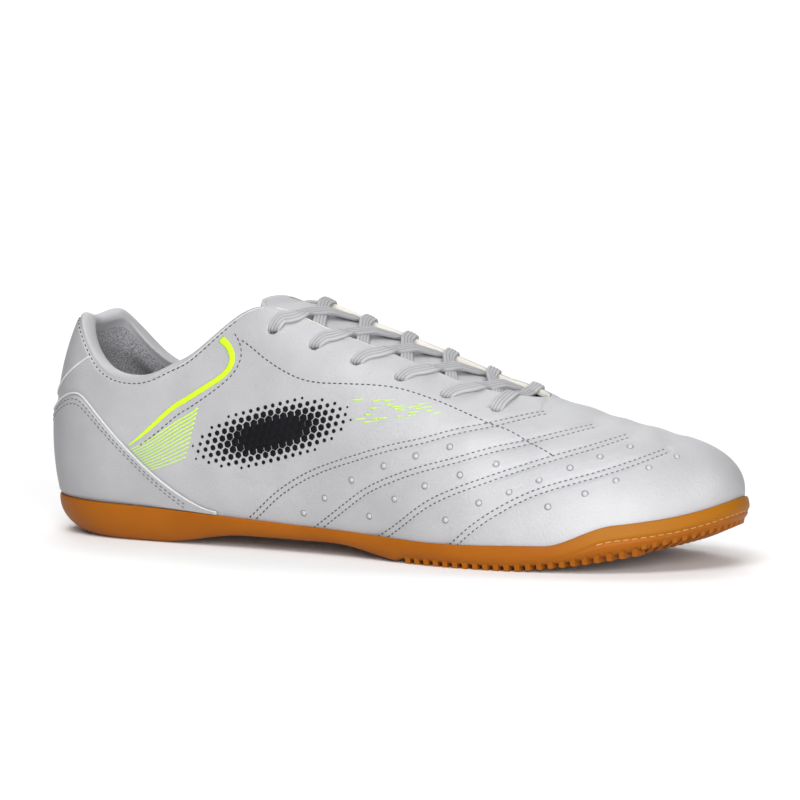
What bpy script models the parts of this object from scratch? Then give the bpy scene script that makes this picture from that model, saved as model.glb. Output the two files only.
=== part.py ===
"""Indoor soccer shoe for the right foot: cup sole, lasted upper, tongue, insole, heel counter and laces.

Lengths are in millimetres until a mesh is made. x runs from heel to toe, y from the outer side to
the inner side and z up. Every piece is worked out from one function, the surface of the last.
"""

import math

import bmesh
import bpy
import numpy as np
from mathutils import Matrix, Vector

MM = 0.001

# Driving sizes
LENGTH = 291.4
BALL_WIDTH = 100.0
INSTEP_HEIGHT = 94.6
WALL = 2.0
CLEAR = 0.35
HEEL_BACK = -0.82
MIDDLE = (HEEL_BACK + LENGTH / 2, 0.0, 0.0)

# Upper
EDGE_POWER = 7
COLLAR_FIRM = (3.2, 4.2)
COLLAR_PAD = 6.0
COLLAR_DEPTH = 0.35
EYELETS = 6
EYELET_FIRST_X = 108.0
EYELET_LAST_X = 200.5
EYELET_INSETS = (9.0, 11.0)
EYELET_BORE = 4.6

# Sole
ARCH_HEIGHT = 4.8
ARCH_RISE = (58.0, 98.0)
ARCH_FALL = (138.0, 174.0)
ROLL_FROM = 212.0
TOE_SPRING = 13.2
LIP = 1.3
SIDE_SWELL = 0.7
BUMPER_HEIGHT = 6.5
BUMPER_RISE = (230.0, 254.0)
BUMPER_SWELL = 1.2
RIB_PITCH = 4.2
RIB_GAP = 1.9
RIB_DEPTH = 1.6
RIBS_FROM = 172.0
RIBS_TO = 290.0

# Insole, tongue, counter and lace
INSOLE = 3.5
INSOLE_CUP = 2.0
TONGUE = 4.0
TONGUE_CLEAR = 0.9
TONGUE_DIP = 2.0
TONGUE_UNDER = 12.0
TONGUE_CROWN = 3.0
TONGUE_PAST = 6.0
TONGUE_FLARE = 1.0
TONGUE_AHEAD = 10.0
COUNTER = 1.0
LACE_WIDTH = 5.0
LACE_THICK = 1.7

# Sections of the last from the back of the heel to the tip of the toe, in mm, drawn for these sizes.
DRAWN_AT = (291.4, 100.0, 94.6)
COLUMNS = (
    "foot_x", "outer_y", "inner_y", "floor", "lip", "tuck",
    "top_x", "outer_top_y", "inner_top_y", "outer_top", "inner_top",
    "belly", "belly_up", "shoulder", "drop",
)  # fmt: skip
SECTIONS = (
    # heel back, heel round, heel side, collar low point
    (5.0, 1.0, 1.0, 9.0, 15.0, 18.0, 11.0, 1.0, 1.0, 85.0, 85.0, 7.0, 22.0, 13.4, 22.0),
    (13.0, -19.0, 21.0, 9.0, 15.0, 15.0, 15.4, -15.5, 18.5, 86.0, 86.2, 7.6, 22.0, 9.6, 24.0),
    (32.0, -28.5, 29.5, 9.0, 14.5, 8.0, 27.3, -25.4, 26.8, 70.9, 73.6, 8.0, 22.0, 6.0, 24.0),
    (56.0, -30.5, 30.5, 9.0, 13.8, 5.0, 44.0, -30.0, 30.0, 63.4, 62.3, 6.0, 20.0, 3.0, 20.0),
    # ankle, top of the facings, then down the throat to its end
    (86.0, -32.0, 28.5, 8.5, 12.5, 4.0, 68.0, -29.0, 29.0, 71.2, 71.0, 5.0, 20.0, 4.0, 20.0),
    (118.0, -34.0, 26.0, 8.0, 11.0, 4.0, 102.0, -22.0, 22.0, 94.6, 94.0, 5.0, 24.0, 13.0, 22.0),
    (149.0, -38.0, 29.5, 7.5, 10.0, 4.0, 134.0, -20.0, 20.0, 85.0, 85.0, 5.0, 24.0, 18.0, 12.0),
    (176.0, -43.5, 37.5, 6.0, 9.0, 4.0, 164.0, -17.5, 17.5, 75.0, 75.5, 5.0, 20.0, 21.0, 8.0),
    (199.0, -46.0, 44.0, 5.0, 9.0, 3.5, 192.0, -14.0, 14.0, 65.5, 66.5, 5.0, 18.0, 24.0, 5.0),
    (223.0, -44.5, 46.0, 5.5, 9.8, 3.5, 214.0, 0.5, 0.5, 61.5, 61.5, 5.0, 16.0, 31.0, 0.0),
    # vamp and toe
    (244.0, -39.0, 44.0, 8.0, 10.5, 3.5, 234.0, 1.0, 1.0, 56.4, 56.4, 5.0, 15.0, 28.0, 0.0),
    (262.0, -29.5, 39.0, 10.5, 12.5, 4.5, 250.5, 2.5, 2.5, 52.6, 52.6, 6.0, 14.0, 23.5, 0.0),
    (275.0, -17.5, 32.0, 13.5, 15.0, 6.5, 261.0, 5.0, 5.0, 50.0, 50.0, 6.5, 14.0, 20.8, 0.0),
    (282.7, -4.0, 21.5, 16.0, 17.8, 8.5, 266.0, 7.0, 7.0, 48.6, 48.6, 8.4, 15.0, 20.2, 0.0),
    (285.0, 9.0, 9.0, 17.0, 19.0, 9.0, 267.5, 8.5, 8.5, 48.2, 48.2, 9.0, 15.0, 19.3, 0.0),
)
THROAT_TOP = 5
THROAT_LOW = 8
THROAT_END = 9
TOE = len(SECTIONS) - 1
ROUND = 2 * TOE

# The top line of the heel counter on either side, by section
COUNTER_TOP = (
    (0.0, 46.0), (0.75, 49.0), (1.3, 55.8), (1.62, 58.0), (1.85, 56.5), (2.3, 49.8),
    (2.6, 44.0), (2.9, 37.0), (3.3, 25.4), (3.75, 16.0), (4.05, 13.6),
)  # fmt: skip

# How finely each piece is divided
BACK_STEPS = 25
FRONT_STEPS = 13
UP_STEPS = 10
ACROSS_STEPS = 6


def scaled_sections():
    """The table with each column stretched from the drawn sizes to the driving ones."""
    along, across, up = np.array((LENGTH, BALL_WIDTH, INSTEP_HEIGHT)) / DRAWN_AT
    ways = {"foot_x": along, "top_x": along, "outer_y": across, "inner_y": across, "tuck": across}
    ways |= {"outer_top_y": across, "inner_top_y": across, "belly": across, "shoulder": across}
    return np.array(SECTIONS) * [ways.get(name, up) for name in COLUMNS]


TABLE = scaled_sections()


def column(outer, inner=None):
    """One value a section, all the way round: the outer side to the toe, then the inner side back."""
    there = TABLE[:, COLUMNS.index(outer)]
    back = TABLE[:, COLUMNS.index(inner or outer)]
    return np.concatenate([there, back[-2:0:-1]])


def eased(values, slopes, q):
    """A cubic between neighbouring values with the slopes given at each."""
    n = len(values)
    i = np.floor(q).astype(int)
    f = q - i
    a, b = i % n, (i + 1) % n
    near = (1 + 2 * f) * (1 - f) ** 2 * values[a] + f * (1 - f) ** 2 * slopes[a]
    return near + f * f * (3 - 2 * f) * values[b] + f * f * (f - 1) * slopes[b]


def smooth(values, q):
    """The closed curve through the values that bends least."""
    n = len(values)
    links = 4 * np.eye(n) + np.roll(np.eye(n), 1, 0) + np.roll(np.eye(n), -1, 0)
    slopes = np.linalg.solve(links, 3 * (np.roll(values, -1) - np.roll(values, 1)))
    return eased(values, slopes, q)


def held(values, q):
    """The closed curve through the values that never passes beyond them."""
    ahead = np.roll(values, -1) - values
    behind = np.roll(ahead, 1)
    same = ahead * behind > 0
    total = np.where(same, ahead + behind, 1.0)
    return eased(values, np.where(same, 2 * ahead * behind / total, 0.0), q)


def section_of(q):
    """The section number, counted from the heel on either side."""
    q = np.mod(q, ROUND)
    return np.minimum(q, ROUND - q)


def outline(q):
    """The foot of the upper all round, and the flat direction outward from it."""
    step = 1e-3
    x, y = column("foot_x"), column("outer_y", "inner_y")
    run = smooth(x, q + step) - smooth(x, q - step)
    side = smooth(y, q + step) - smooth(y, q - step)
    out = np.stack([side, -run, np.zeros_like(run)], -1)
    out /= np.linalg.norm(out, axis=-1, keepdims=True)
    return np.stack([smooth(x, q), smooth(y, q), smooth(column("floor"), q)], -1), out


def fair_side(q):
    """How far to the side the top line lies, as if the throat ran out into the ridge."""
    sides, firm = column("outer_top_y", "inner_top_y"), step_up(section_of(q), COLLAR_FIRM)
    y = held(sides, q) * firm + smooth(sides, q) * (1 - firm)
    return np.where(section_of(q) > THROAT_END, held(column("inner_top_y"), q), y)


def top_line(q):
    """The collar, the edges of the facings and, past the throat, the ridge."""
    at = section_of(q)
    x = held(column("top_x"), q)
    y = fair_side(q)
    heights, firm = column("outer_top", "inner_top"), step_up(at, COLLAR_FIRM)
    z = held(heights, q) * firm + smooth(heights, q) * (1 - firm)
    low, end = TABLE[THROAT_LOW], TABLE[THROAT_END]
    low_x, end_x = low[COLUMNS.index("top_x")], end[COLUMNS.index("top_x")]
    f = np.clip((x - low_x) / (end_x - low_x), 0, 1)
    side = np.where(np.mod(q, ROUND) <= TOE, -1.0, 1.0)
    arc = end[COLUMNS.index("outer_top_y")] * f
    arc = arc + side * low[COLUMNS.index("inner_top_y")] * np.sqrt(1 - f * f)
    y = np.where((at > THROAT_LOW) & (at <= THROAT_END), arc, y)
    z = np.where(at > THROAT_END, held(column("outer_top"), q), z)
    return np.stack([x, y, z], -1)


def last(q, t):
    """The outside of the upper: round the foot by q, and up from its foot to its top line by t."""
    q, t = np.broadcast_arrays(np.asarray(q, float), np.asarray(t, float))
    foot, out = outline(q)
    top, t = top_line(q), t[..., None]
    fair = np.stack([top[..., 0], fair_side(q), top[..., 2]], -1)
    up = np.array((0.0, 0.0, 1.0))
    low = foot + out * smooth(column("belly"), q)[..., None]
    low = low + up * smooth(column("belly_up"), q)[..., None]
    high = fair + out * smooth(column("shoulder"), q)[..., None]
    fall = smooth(column("drop"), q)
    ridge = np.gradient(TABLE[:, COLUMNS.index("outer_top")], TABLE[:, COLUMNS.index("top_x")])
    at = section_of(q)
    slope = np.where(at > THROAT_LOW, np.interp(at, np.arange(TOE + 1), ridge), 0.0)
    high = high + up * ((high - fair)[..., 0] * slope - fall)[..., None]
    s, edge = 1 - t, fair + (top - fair) * t**EDGE_POWER
    return s**3 * foot + 3 * s * s * t * low + 3 * s * t * t * high + t**3 * edge


def normal(q, t):
    """The direction straight out of the last."""
    q, t = np.broadcast_arrays(np.asarray(q, float), np.minimum(np.asarray(t, float), 0.985))
    step = 1e-3
    n = np.cross(last(q + step, t) - last(q - step, t), last(q, t + step) - last(q, t - step))
    return n / np.linalg.norm(n, axis=-1, keepdims=True)


def laid(q, t, off):
    """A point held a distance off the last."""
    return last(q, t) + normal(q, t) * np.asarray(off, float)[..., None]


def height_to_t(q, z):
    """How far up the last its outside reaches a height."""
    low, high = np.zeros_like(q), np.ones_like(q)
    for _ in range(24):
        t = (low + high) / 2
        under = last(q, t)[..., 2] < z
        low, high = np.where(under, t, low), np.where(under, high, t)
    return (low + high) / 2


def inset_to_t(q, distance):
    """How far up the last a point lies a distance below its top line, along the surface."""
    t = np.linspace(1.0, 0.3, 141)
    line = last(q, t)
    run = np.concatenate([[0.0], np.cumsum(np.linalg.norm(np.diff(line, axis=0), axis=1))])
    return np.interp(distance, run, t)


def along_to_row(x):
    """The section at which the top line of a facing is this far along."""
    rows = np.linspace(THROAT_TOP, THROAT_END, 401)
    return np.interp(x, top_line(rows)[:, 0], rows)


def step_up(x, span):
    f = np.clip((x - span[0]) / (span[1] - span[0]), 0, 1)
    return f * f * (3 - 2 * f)


def ground(x):
    """The underside of the sole: flat heel, arch, flat forefoot, toe spring."""
    roll = np.clip((x - ROLL_FROM) / (LENGTH - ROLL_FROM), 0, None)
    return ARCH_HEIGHT * step_up(x, ARCH_RISE) * (1 - step_up(x, ARCH_FALL)) + TOE_SPRING * roll**1.5


def lip_height(q):
    """The top edge of the sole's side, stepped up round the toe."""
    foot, _ = outline(q)
    return smooth(column("lip"), q) + BUMPER_HEIGHT * step_up(foot[..., 0], BUMPER_RISE)


def half_stations():
    """Sections from heel to toe at which the pieces are divided, one of them at the throat's end."""
    back = np.linspace(0, THROAT_LOW, BACK_STEPS + 1)
    bend = THROAT_LOW + np.sin(np.radians((24, 46, 66, 90)))
    return np.concatenate([back, bend, np.linspace(THROAT_END, TOE, FRONT_STEPS + 1)[1:]])


def round_stations():
    half = half_stations()
    return np.concatenate([half, ROUND - half[-2:0:-1]])


def add_object(name, points, faces):
    """A mesh object from points in mm, centred along its length."""
    mesh = bpy.data.meshes.new(name)
    moved = (np.asarray(points) - MIDDLE) * MM
    mesh.from_pydata(moved.tolist(), [], faces)
    made = bmesh.new()
    made.from_mesh(mesh)
    bmesh.ops.remove_doubles(made, verts=made.verts, dist=1e-5)
    bmesh.ops.dissolve_degenerate(made, edges=made.edges, dist=1e-6)
    made.to_mesh(mesh)
    made.free()
    thing = bpy.data.objects.new(name, mesh)
    bpy.context.collection.objects.link(thing)
    return thing


def finish(thing, colour, roughness):
    """Its own material."""
    made = bpy.data.materials.new(thing.name)
    made.use_nodes = True
    shader = made.node_tree.nodes["Principled BSDF"]
    shader.inputs["Base Color"].default_value = (*colour, 1.0)
    shader.inputs["Roughness"].default_value = roughness
    thing.data.materials.append(made)


def face_out(thing):
    made = bmesh.new()
    made.from_mesh(thing.data)
    bmesh.ops.recalc_face_normals(made, faces=made.faces)
    made.to_mesh(thing.data)
    made.free()


def grid_faces(rows, columns, closed=False):
    """Quads over a grid of points numbered row by row."""
    faces = []
    for i in range(rows if closed else rows - 1):
        for j in range(columns - 1):
            a, b = i * columns + j, (i + 1) % rows * columns + j
            faces.append((a, b, b + 1, a + 1))
    return faces


def cut(thing, cutter):
    """A Boolean cut by a cutter that is kept out of sight."""
    cutter.hide_render = True
    cutter.display_type = "WIRE"
    made = thing.modifiers.new("cut", "BOOLEAN")
    made.operation = "DIFFERENCE"
    made.solver = "EXACT"
    made.object = cutter


def wall(thing, thickness, offset):
    made = thing.modifiers.new("wall", "SOLIDIFY")
    made.thickness = thickness * MM
    made.offset = offset
    made.use_quality_normals = True
    return made


def eyelet_places():
    """Section and height of each eyelet, the same on both sides."""
    rows = along_to_row(np.linspace(EYELET_FIRST_X, EYELET_LAST_X, EYELETS))
    insets = np.linspace(*EYELET_INSETS, EYELETS)
    return [(row, inset_to_t(np.full(141, row), inset)) for row, inset in zip(rows, insets)]


def build_upper():
    q = round_stations()
    t = np.linspace(0, 1, UP_STEPS + 1)
    points = last(q[:, None], t[None, :])
    upper = add_object("upper", points.reshape(-1, 3), grid_faces(len(q), len(t), closed=True))

    padded = upper.vertex_groups.new(name="padding")
    near_top = np.clip((t - (1 - COLLAR_DEPTH)) / (0.6 * COLLAR_DEPTH), 0, 1)
    in_collar = np.clip((THROAT_TOP - 0.2 - section_of(q)) / 1.2, 0, 1)
    weight = near_top[None, :] * in_collar[:, None]
    spots = (points.reshape(-1, 3) - MIDDLE) * MM
    for vertex in upper.data.vertices:
        nearest = np.argmin(np.sum((spots - np.array(vertex.co)) ** 2, axis=1))
        padded.add([vertex.index], float(weight.flat[nearest]), "REPLACE")
    made = wall(upper, COLLAR_PAD, -1)
    made.vertex_group = "padding"
    made.thickness_vertex_group = WALL / COLLAR_PAD

    cutter = bmesh.new()
    for row, t_eye in eyelet_places():
        for q_eye in (row, ROUND - row):
            centre = last(q_eye, t_eye) - MIDDLE
            axis = normal(q_eye, t_eye)
            turn = standing(axis, centre)
            bmesh.ops.create_cone(
                cutter, cap_ends=True, segments=10, matrix=turn, depth=12 * MM,
                radius1=EYELET_BORE / 2 * MM, radius2=EYELET_BORE / 2 * MM,
            )  # fmt: skip
    mesh = bpy.data.meshes.new("eyelet_cutter")
    cutter.to_mesh(mesh)
    cutter.free()
    punch = bpy.data.objects.new("eyelet_cutter", mesh)
    bpy.context.collection.objects.link(punch)
    cut(upper, punch)
    finish(upper, (0.62, 0.62, 0.65), 0.45)


def standing(axis, centre):
    """A matrix that stands a cylinder along an axis at a point given in mm."""
    place = Matrix.Translation(Vector([c * MM for c in centre]))
    return place @ Vector(axis).to_track_quat("Z", "Y").to_matrix().to_4x4()


def strips(ring, heights):
    """Points from each outer station across to its inner partner, heel to toe."""
    count = len(half_stations())
    f = np.linspace(0, 1, ACROSS_STEPS + 1)[None, :, None]
    outer = ring[:count]
    inner = ring[(-np.arange(count)) % len(ring)]
    across = outer[:, None, :] * (1 - f) + inner[:, None, :] * f
    across[..., 2] = heights(across)
    return across


def build_outsole():
    q = round_stations()
    count = len(q)
    _, out = outline(q)
    lip = lip_height(q)
    t_lip = height_to_t(q, lip)
    rings = [laid(q, t_lip * share, np.full(count, CLEAR)) for share in (0.0, 0.5, 1.0)]
    rings[0][:, 2] -= CLEAR
    edge = laid(q, t_lip, np.full(count, CLEAR + LIP))
    rings.append(edge)
    tuck = smooth(column("tuck"), q)
    swell = SIDE_SWELL + BUMPER_SWELL * step_up(edge[:, 0], BUMPER_RISE)
    for angle in np.radians((24, 48, 70, 90)):
        move = swell * math.sin(2 * angle) - tuck * (1 - math.cos(angle))
        ring = edge + out * move[:, None]
        ring[:, 2] = lip + (ground(ring[:, 0]) - lip) * math.sin(angle)
        rings.append(ring)

    points = np.concatenate(rings)
    faces = []
    for k in range(len(rings) - 1):
        for i in range(count):
            j = (i + 1) % count
            faces.append((k * count + i, k * count + j, (k + 1) * count + j, (k + 1) * count + i))
    for ring, heights in ((rings[0], lambda p: p[..., 2]), (rings[-1], lambda p: ground(p[..., 0]))):
        sheet = strips(ring, heights)
        start = len(points)
        points = np.concatenate([points, sheet.reshape(-1, 3)])
        faces += [tuple(start + v for v in face) for face in grid_faces(*sheet.shape[:2])]
    sole = add_object("outsole", points, faces)
    face_out(sole)

    cutter = bmesh.new()
    for x in np.arange(RIBS_FROM, RIBS_TO, RIB_PITCH):
        box = bmesh.ops.create_cube(cutter, size=MM)["verts"]
        top = ground(x) + RIB_DEPTH
        bmesh.ops.scale(cutter, vec=(RIB_GAP, 140.0, top + 4.0), verts=box)
        shift = np.array((x - MIDDLE[0], 0.0, (top - 4.0) / 2)) * MM
        bmesh.ops.translate(cutter, vec=shift.tolist(), verts=box)
    mesh = bpy.data.meshes.new("rib_cutter")
    cutter.to_mesh(mesh)
    cutter.free()
    gaps = bpy.data.objects.new("rib_cutter", mesh)
    bpy.context.collection.objects.link(gaps)
    cut(sole, gaps)
    finish(sole, (0.42, 0.13, 0.02), 0.5)


def build_insole():
    q = round_stations()[::2]
    foot, out = outline(q)
    edge = foot - out * (WALL + CLEAR + 0.3)
    half = len(q) // 2 + 1
    f = np.linspace(-1, 1, ACROSS_STEPS + 1)[None, :, None]
    outer, inner = edge[:half], edge[(-np.arange(half)) % len(q)]
    flat = (outer[:, None] * (1 - f) + inner[:, None] * (1 + f)) / 2
    lower, upper = flat.copy(), flat.copy()
    lower[..., 2] += 0.1
    rise = np.broadcast_to(f[..., 0] ** 2, flat.shape[:2]).copy()
    rise[[0, -1]] = 1.0
    upper[..., 2] += INSOLE + INSOLE_CUP * rise * (1 - step_up(flat[..., 0], (70.0, 190.0)))
    size = upper[..., 0].size
    points = np.concatenate([upper.reshape(-1, 3), lower.reshape(-1, 3)])
    faces = grid_faces(half, ACROSS_STEPS + 1)
    faces += [tuple(size + v for v in face[::-1]) for face in faces]
    for i in range(half - 1):
        for j in (0, ACROSS_STEPS):
            a, b = i * (ACROSS_STEPS + 1) + j, (i + 1) * (ACROSS_STEPS + 1) + j
            faces.append((a, b, b + size, a + size))
    insole = add_object("insole", points, faces)
    face_out(insole)
    finish(insole, (0.35, 0.35, 0.37), 0.8)


def tongue_section(row):
    """The tongue's top across one section, from under the outer facing to under the inner one."""
    depth = -(WALL + TONGUE_CLEAR + TONGUE_DIP * step_up(row, (THROAT_LOW, THROAT_END)))
    under = np.linspace(TONGUE_UNDER, 0.0, 4)
    sides = []
    for q in (row, ROUND - row):
        t = inset_to_t(np.full(141, q), under)
        sides.append(laid(np.full(4, q), t, np.full(4, depth)))
    outer, inner = sides[0][-1], sides[1][-1]
    f = np.linspace(0, 1, 7)[1:-1, None]
    bridge = outer * (1 - f) + inner * f
    width = np.linalg.norm(inner - outer)
    crown = min(TONGUE_CROWN, 0.12 * width)
    bridge[:, 2] += crown * 4 * (f * (1 - f))[:, 0]
    return np.concatenate([sides[0], bridge, sides[1][::-1]])


def build_tongue():
    rows = np.concatenate([np.linspace(THROAT_TOP, THROAT_END - 0.35, 15), [THROAT_END - 0.15]])
    sections = [tongue_section(row) for row in rows]
    lead = sections[0] - sections[1]
    lead *= TONGUE_PAST / np.linalg.norm(lead, axis=1, keepdims=True)
    middle = sections[0].mean(axis=0) * (1.0, 1.0, 0.0) + (0.0, 0.0, sections[0][:, 2].max())
    flare = np.array((0.0, 0.0, TONGUE_FLARE))
    past = [
        middle + (sections[0] - middle) * (1 - 0.3 * share) + lead * share + flare * share
        for share in (1.0, 0.5)
    ]
    ahead = sections[-1] + (TONGUE_AHEAD, 0.0, -0.35 * TONGUE_AHEAD)
    sections = np.array(past + sections + [ahead])
    tongue = add_object("tongue", sections.reshape(-1, 3), grid_faces(*sections.shape[:2]))
    wall(tongue, TONGUE, -1)
    finish(tongue, (0.6, 0.6, 0.62), 0.6)


def build_counter():
    rows = np.linspace(-COUNTER_TOP[-1][0], COUNTER_TOP[-1][0], 31)
    q = np.mod(rows, ROUND)
    low = lip_height(q) + 0.6
    at = np.array(COUNTER_TOP)
    high = np.maximum(np.interp(np.abs(rows), at[:, 0], at[:, 1]), low + 1.0)
    t_low, t_high = height_to_t(q, low), height_to_t(q, high)
    share = np.linspace(0, 1, 6)
    t = t_low[:, None] * (1 - share) + t_high[:, None] * share
    points = laid(np.broadcast_to(q[:, None], t.shape), t, np.full(t.shape, CLEAR))
    counter = add_object("heel_counter", points.reshape(-1, 3), grid_faces(*t.shape))
    wall(counter, COUNTER, 1)
    finish(counter, (0.55, 0.55, 0.58), 0.5)


def strap(path, facing):
    """A flat lace along a path, as rings of six points and their faces."""
    path, facing = np.asarray(path), np.asarray(facing)
    run = np.gradient(path, axis=0)
    run /= np.linalg.norm(run, axis=1, keepdims=True)
    side = np.cross(run, facing)
    side /= np.linalg.norm(side, axis=1, keepdims=True)
    up = np.cross(side, run)
    shape = ((-0.5, 0.0), (-0.32, 0.5), (0.32, 0.5), (0.5, 0.0), (0.32, -0.5), (-0.32, -0.5))
    rings = [path + side * a * LACE_WIDTH + up * b * LACE_THICK for a, b in shape]
    points = np.stack(rings, 1).reshape(-1, 3)
    count = len(path)
    faces = []
    for i in range(count - 1):
        for j in range(6):
            k = (j + 1) % 6
            faces.append((i * 6 + j, i * 6 + k, (i + 1) * 6 + k, (i + 1) * 6 + j))
    faces.append(tuple(range(6)))
    faces.append(tuple((count - 1) * 6 + j for j in range(6)))
    return points, faces


def throat_point(row, w):
    """A point on the tongue's top, across the throat from the outer edge at -1 to the inner at 1."""
    section = tongue_section(row)[3:10]
    spots = np.linspace(-1, 1, 7)
    return np.array([np.interp(w, spots, section[:, k]) for k in range(3)])


def lace_path(row, t_eye, next_row, inner):
    """From beside an eyelet over the facing's edge and across the throat to the other facing."""
    q = ROUND - row if inner else row
    lift = CLEAR + 0.25 + LACE_THICK / 2
    t_near = (t_eye + 1) / 2
    path = [laid(q, t, np.array(lift)) for t in (t_eye + 0.02, t_near, 0.995)]
    facing = [normal(q, t) for t in (t_eye, t_near, 0.97)]
    sign = 1 if inner else -1
    for w in (0.6, 0.2, -0.2, -0.6, -0.78):
        share = (1 - w) / 2
        over = (WALL + CLEAR) * np.clip((w + 0.6) / 1.2, 0, 1)
        point = throat_point(row + (next_row - row) * share, sign * w)
        path.append(point + (0.0, 0.0, lift + 0.2 + over))
        facing.append(np.array((0.25, 0.0, 1.0)))
    return path, facing


def join(name, pieces):
    """Straps made one solid by a Boolean union."""
    whole = add_object(name, *pieces[0])
    face_out(whole)
    for points, faces in pieces[1:]:
        other = add_object(name + "_strap", points, faces)
        face_out(other)
        other.hide_render = True
        other.display_type = "WIRE"
        made = whole.modifiers.new("join", "BOOLEAN")
        made.operation = "UNION"
        made.solver = "EXACT"
        made.object = other
    finish(whole, (0.5, 0.5, 0.51), 0.8)


def build_laces():
    places = eyelet_places()
    for i in range(EYELETS - 1):
        row, t_eye = places[i]
        sides = [strap(*lace_path(row, t_eye, places[i + 1][0], inner)) for inner in (False, True)]
        join(f"lace_crossing_{i + 1}", sides)
    row, t_eye = places[-1]
    start, start_facing = lace_path(row, t_eye, row, False)
    end, end_facing = lace_path(row, t_eye, row, True)
    path = start[:5] + end[4::-1]
    join("lace_bar", [strap(path, start_facing[:5] + end_facing[4::-1])])


def main():
    for thing in list(bpy.data.objects):
        bpy.data.objects.remove(thing, do_unlink=True)
    build_outsole()
    build_insole()
    build_upper()
    build_tongue()
    build_counter()
    build_laces()


main()
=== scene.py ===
# %% [markdown]
# # An indoor soccer shoe
# A right shoe with a silver-grey upper, padded channels over the toes, a laced throat and a gum
# rubber cup sole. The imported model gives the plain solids. This lesson dresses them: every piece is
# worked out with numpy from one surface, the last that the shoe was pulled over.

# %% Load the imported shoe
import math

import bmesh
import bpy
import numpy as np
from mathutils import Matrix, Vector


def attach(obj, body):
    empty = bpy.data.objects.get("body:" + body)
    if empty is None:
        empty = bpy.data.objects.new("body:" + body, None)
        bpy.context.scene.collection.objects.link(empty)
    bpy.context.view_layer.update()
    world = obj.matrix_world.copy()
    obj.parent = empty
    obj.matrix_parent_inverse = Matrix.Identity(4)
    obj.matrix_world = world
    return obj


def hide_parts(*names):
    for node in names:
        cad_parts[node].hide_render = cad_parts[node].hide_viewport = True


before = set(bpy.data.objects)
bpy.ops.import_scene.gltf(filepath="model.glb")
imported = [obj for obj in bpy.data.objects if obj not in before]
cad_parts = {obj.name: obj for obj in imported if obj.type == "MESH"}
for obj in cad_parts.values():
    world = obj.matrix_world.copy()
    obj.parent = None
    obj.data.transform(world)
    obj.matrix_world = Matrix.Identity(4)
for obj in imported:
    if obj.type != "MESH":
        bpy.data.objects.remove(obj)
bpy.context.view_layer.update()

MM = 0.001

# %% [markdown]
# ## The last
# A shoemaker pulls the upper over a wooden foot, the last. It could be sculpted, but then nothing
# else would know its shape. Here it is a short table of sections from heel to toe, as in the solids.
# Round the shoe runs q: 0 at the back of the heel, along the outer side to the toe, and home along
# the inner side. Up the wall runs t, from the sole to the collar, the facings or the ridge.

# %% Sections of the last
COLUMNS = (
    "foot_x", "outer_y", "inner_y", "floor", "lip", "tuck",
    "top_x", "outer_top_y", "inner_top_y", "outer_top", "inner_top",
    "belly", "belly_up", "shoulder", "drop",
)
SECTIONS = np.array((
    (5.0, 1.0, 1.0, 9.0, 15.0, 18.0, 11.0, 1.0, 1.0, 85.0, 85.0, 7.0, 22.0, 13.4, 22.0),
    (13.0, -19.0, 21.0, 9.0, 15.0, 15.0, 15.4, -15.5, 18.5, 86.0, 86.2, 7.6, 22.0, 9.6, 24.0),
    (32.0, -28.5, 29.5, 9.0, 14.5, 8.0, 27.3, -25.4, 26.8, 70.9, 73.6, 8.0, 22.0, 6.0, 24.0),
    (56.0, -30.5, 30.5, 9.0, 13.8, 5.0, 44.0, -30.0, 30.0, 63.4, 62.3, 6.0, 20.0, 3.0, 20.0),
    (86.0, -32.0, 28.5, 8.5, 12.5, 4.0, 68.0, -29.0, 29.0, 71.2, 71.0, 5.0, 20.0, 4.0, 20.0),
    (118.0, -34.0, 26.0, 8.0, 11.0, 4.0, 102.0, -22.0, 22.0, 94.6, 94.0, 5.0, 24.0, 13.0, 22.0),
    (149.0, -38.0, 29.5, 7.5, 10.0, 4.0, 134.0, -20.0, 20.0, 85.0, 85.0, 5.0, 24.0, 18.0, 12.0),
    (176.0, -43.5, 37.5, 6.0, 9.0, 4.0, 164.0, -17.5, 17.5, 75.0, 75.5, 5.0, 20.0, 21.0, 8.0),
    (199.0, -46.0, 44.0, 5.0, 9.0, 3.5, 192.0, -14.0, 14.0, 65.5, 66.5, 5.0, 18.0, 24.0, 5.0),
    (223.0, -44.5, 46.0, 5.5, 9.8, 3.5, 214.0, 0.5, 0.5, 61.5, 61.5, 5.0, 16.0, 31.0, 0.0),
    (244.0, -39.0, 44.0, 8.0, 10.5, 3.5, 234.0, 1.0, 1.0, 56.4, 56.4, 5.0, 15.0, 28.0, 0.0),
    (262.0, -29.5, 39.0, 10.5, 12.5, 4.5, 250.5, 2.5, 2.5, 52.6, 52.6, 6.0, 14.0, 23.5, 0.0),
    (275.0, -17.5, 32.0, 13.5, 15.0, 6.5, 261.0, 5.0, 5.0, 50.0, 50.0, 6.5, 14.0, 20.8, 0.0),
    (282.7, -4.0, 21.5, 16.0, 17.8, 8.5, 266.0, 7.0, 7.0, 48.6, 48.6, 8.4, 15.0, 20.2, 0.0),
    (285.0, 9.0, 9.0, 17.0, 19.0, 9.0, 267.5, 8.5, 8.5, 48.2, 48.2, 9.0, 15.0, 19.3, 0.0),
))
MIDDLE = np.array((144.88, 0.0, 0.0))
TOE = len(SECTIONS) - 1
ROUND = 2 * TOE
FACING_TOP, THROAT_LOW, THROAT_END = 5, 8, 9
EDGE_POWER = 7  # how late up the wall the throat's rounded end takes over
COLLAR_FIRM = (3.2, 4.2)  # sections where the collar's curve turns from soft to firm
WALL, CLEAR = 2.0, 0.35  # the leather, and the air kept between neighbouring pieces
NUDGE, HALVINGS = 1e-3, 22  # a small step for slopes, and the rounds of halving


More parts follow.
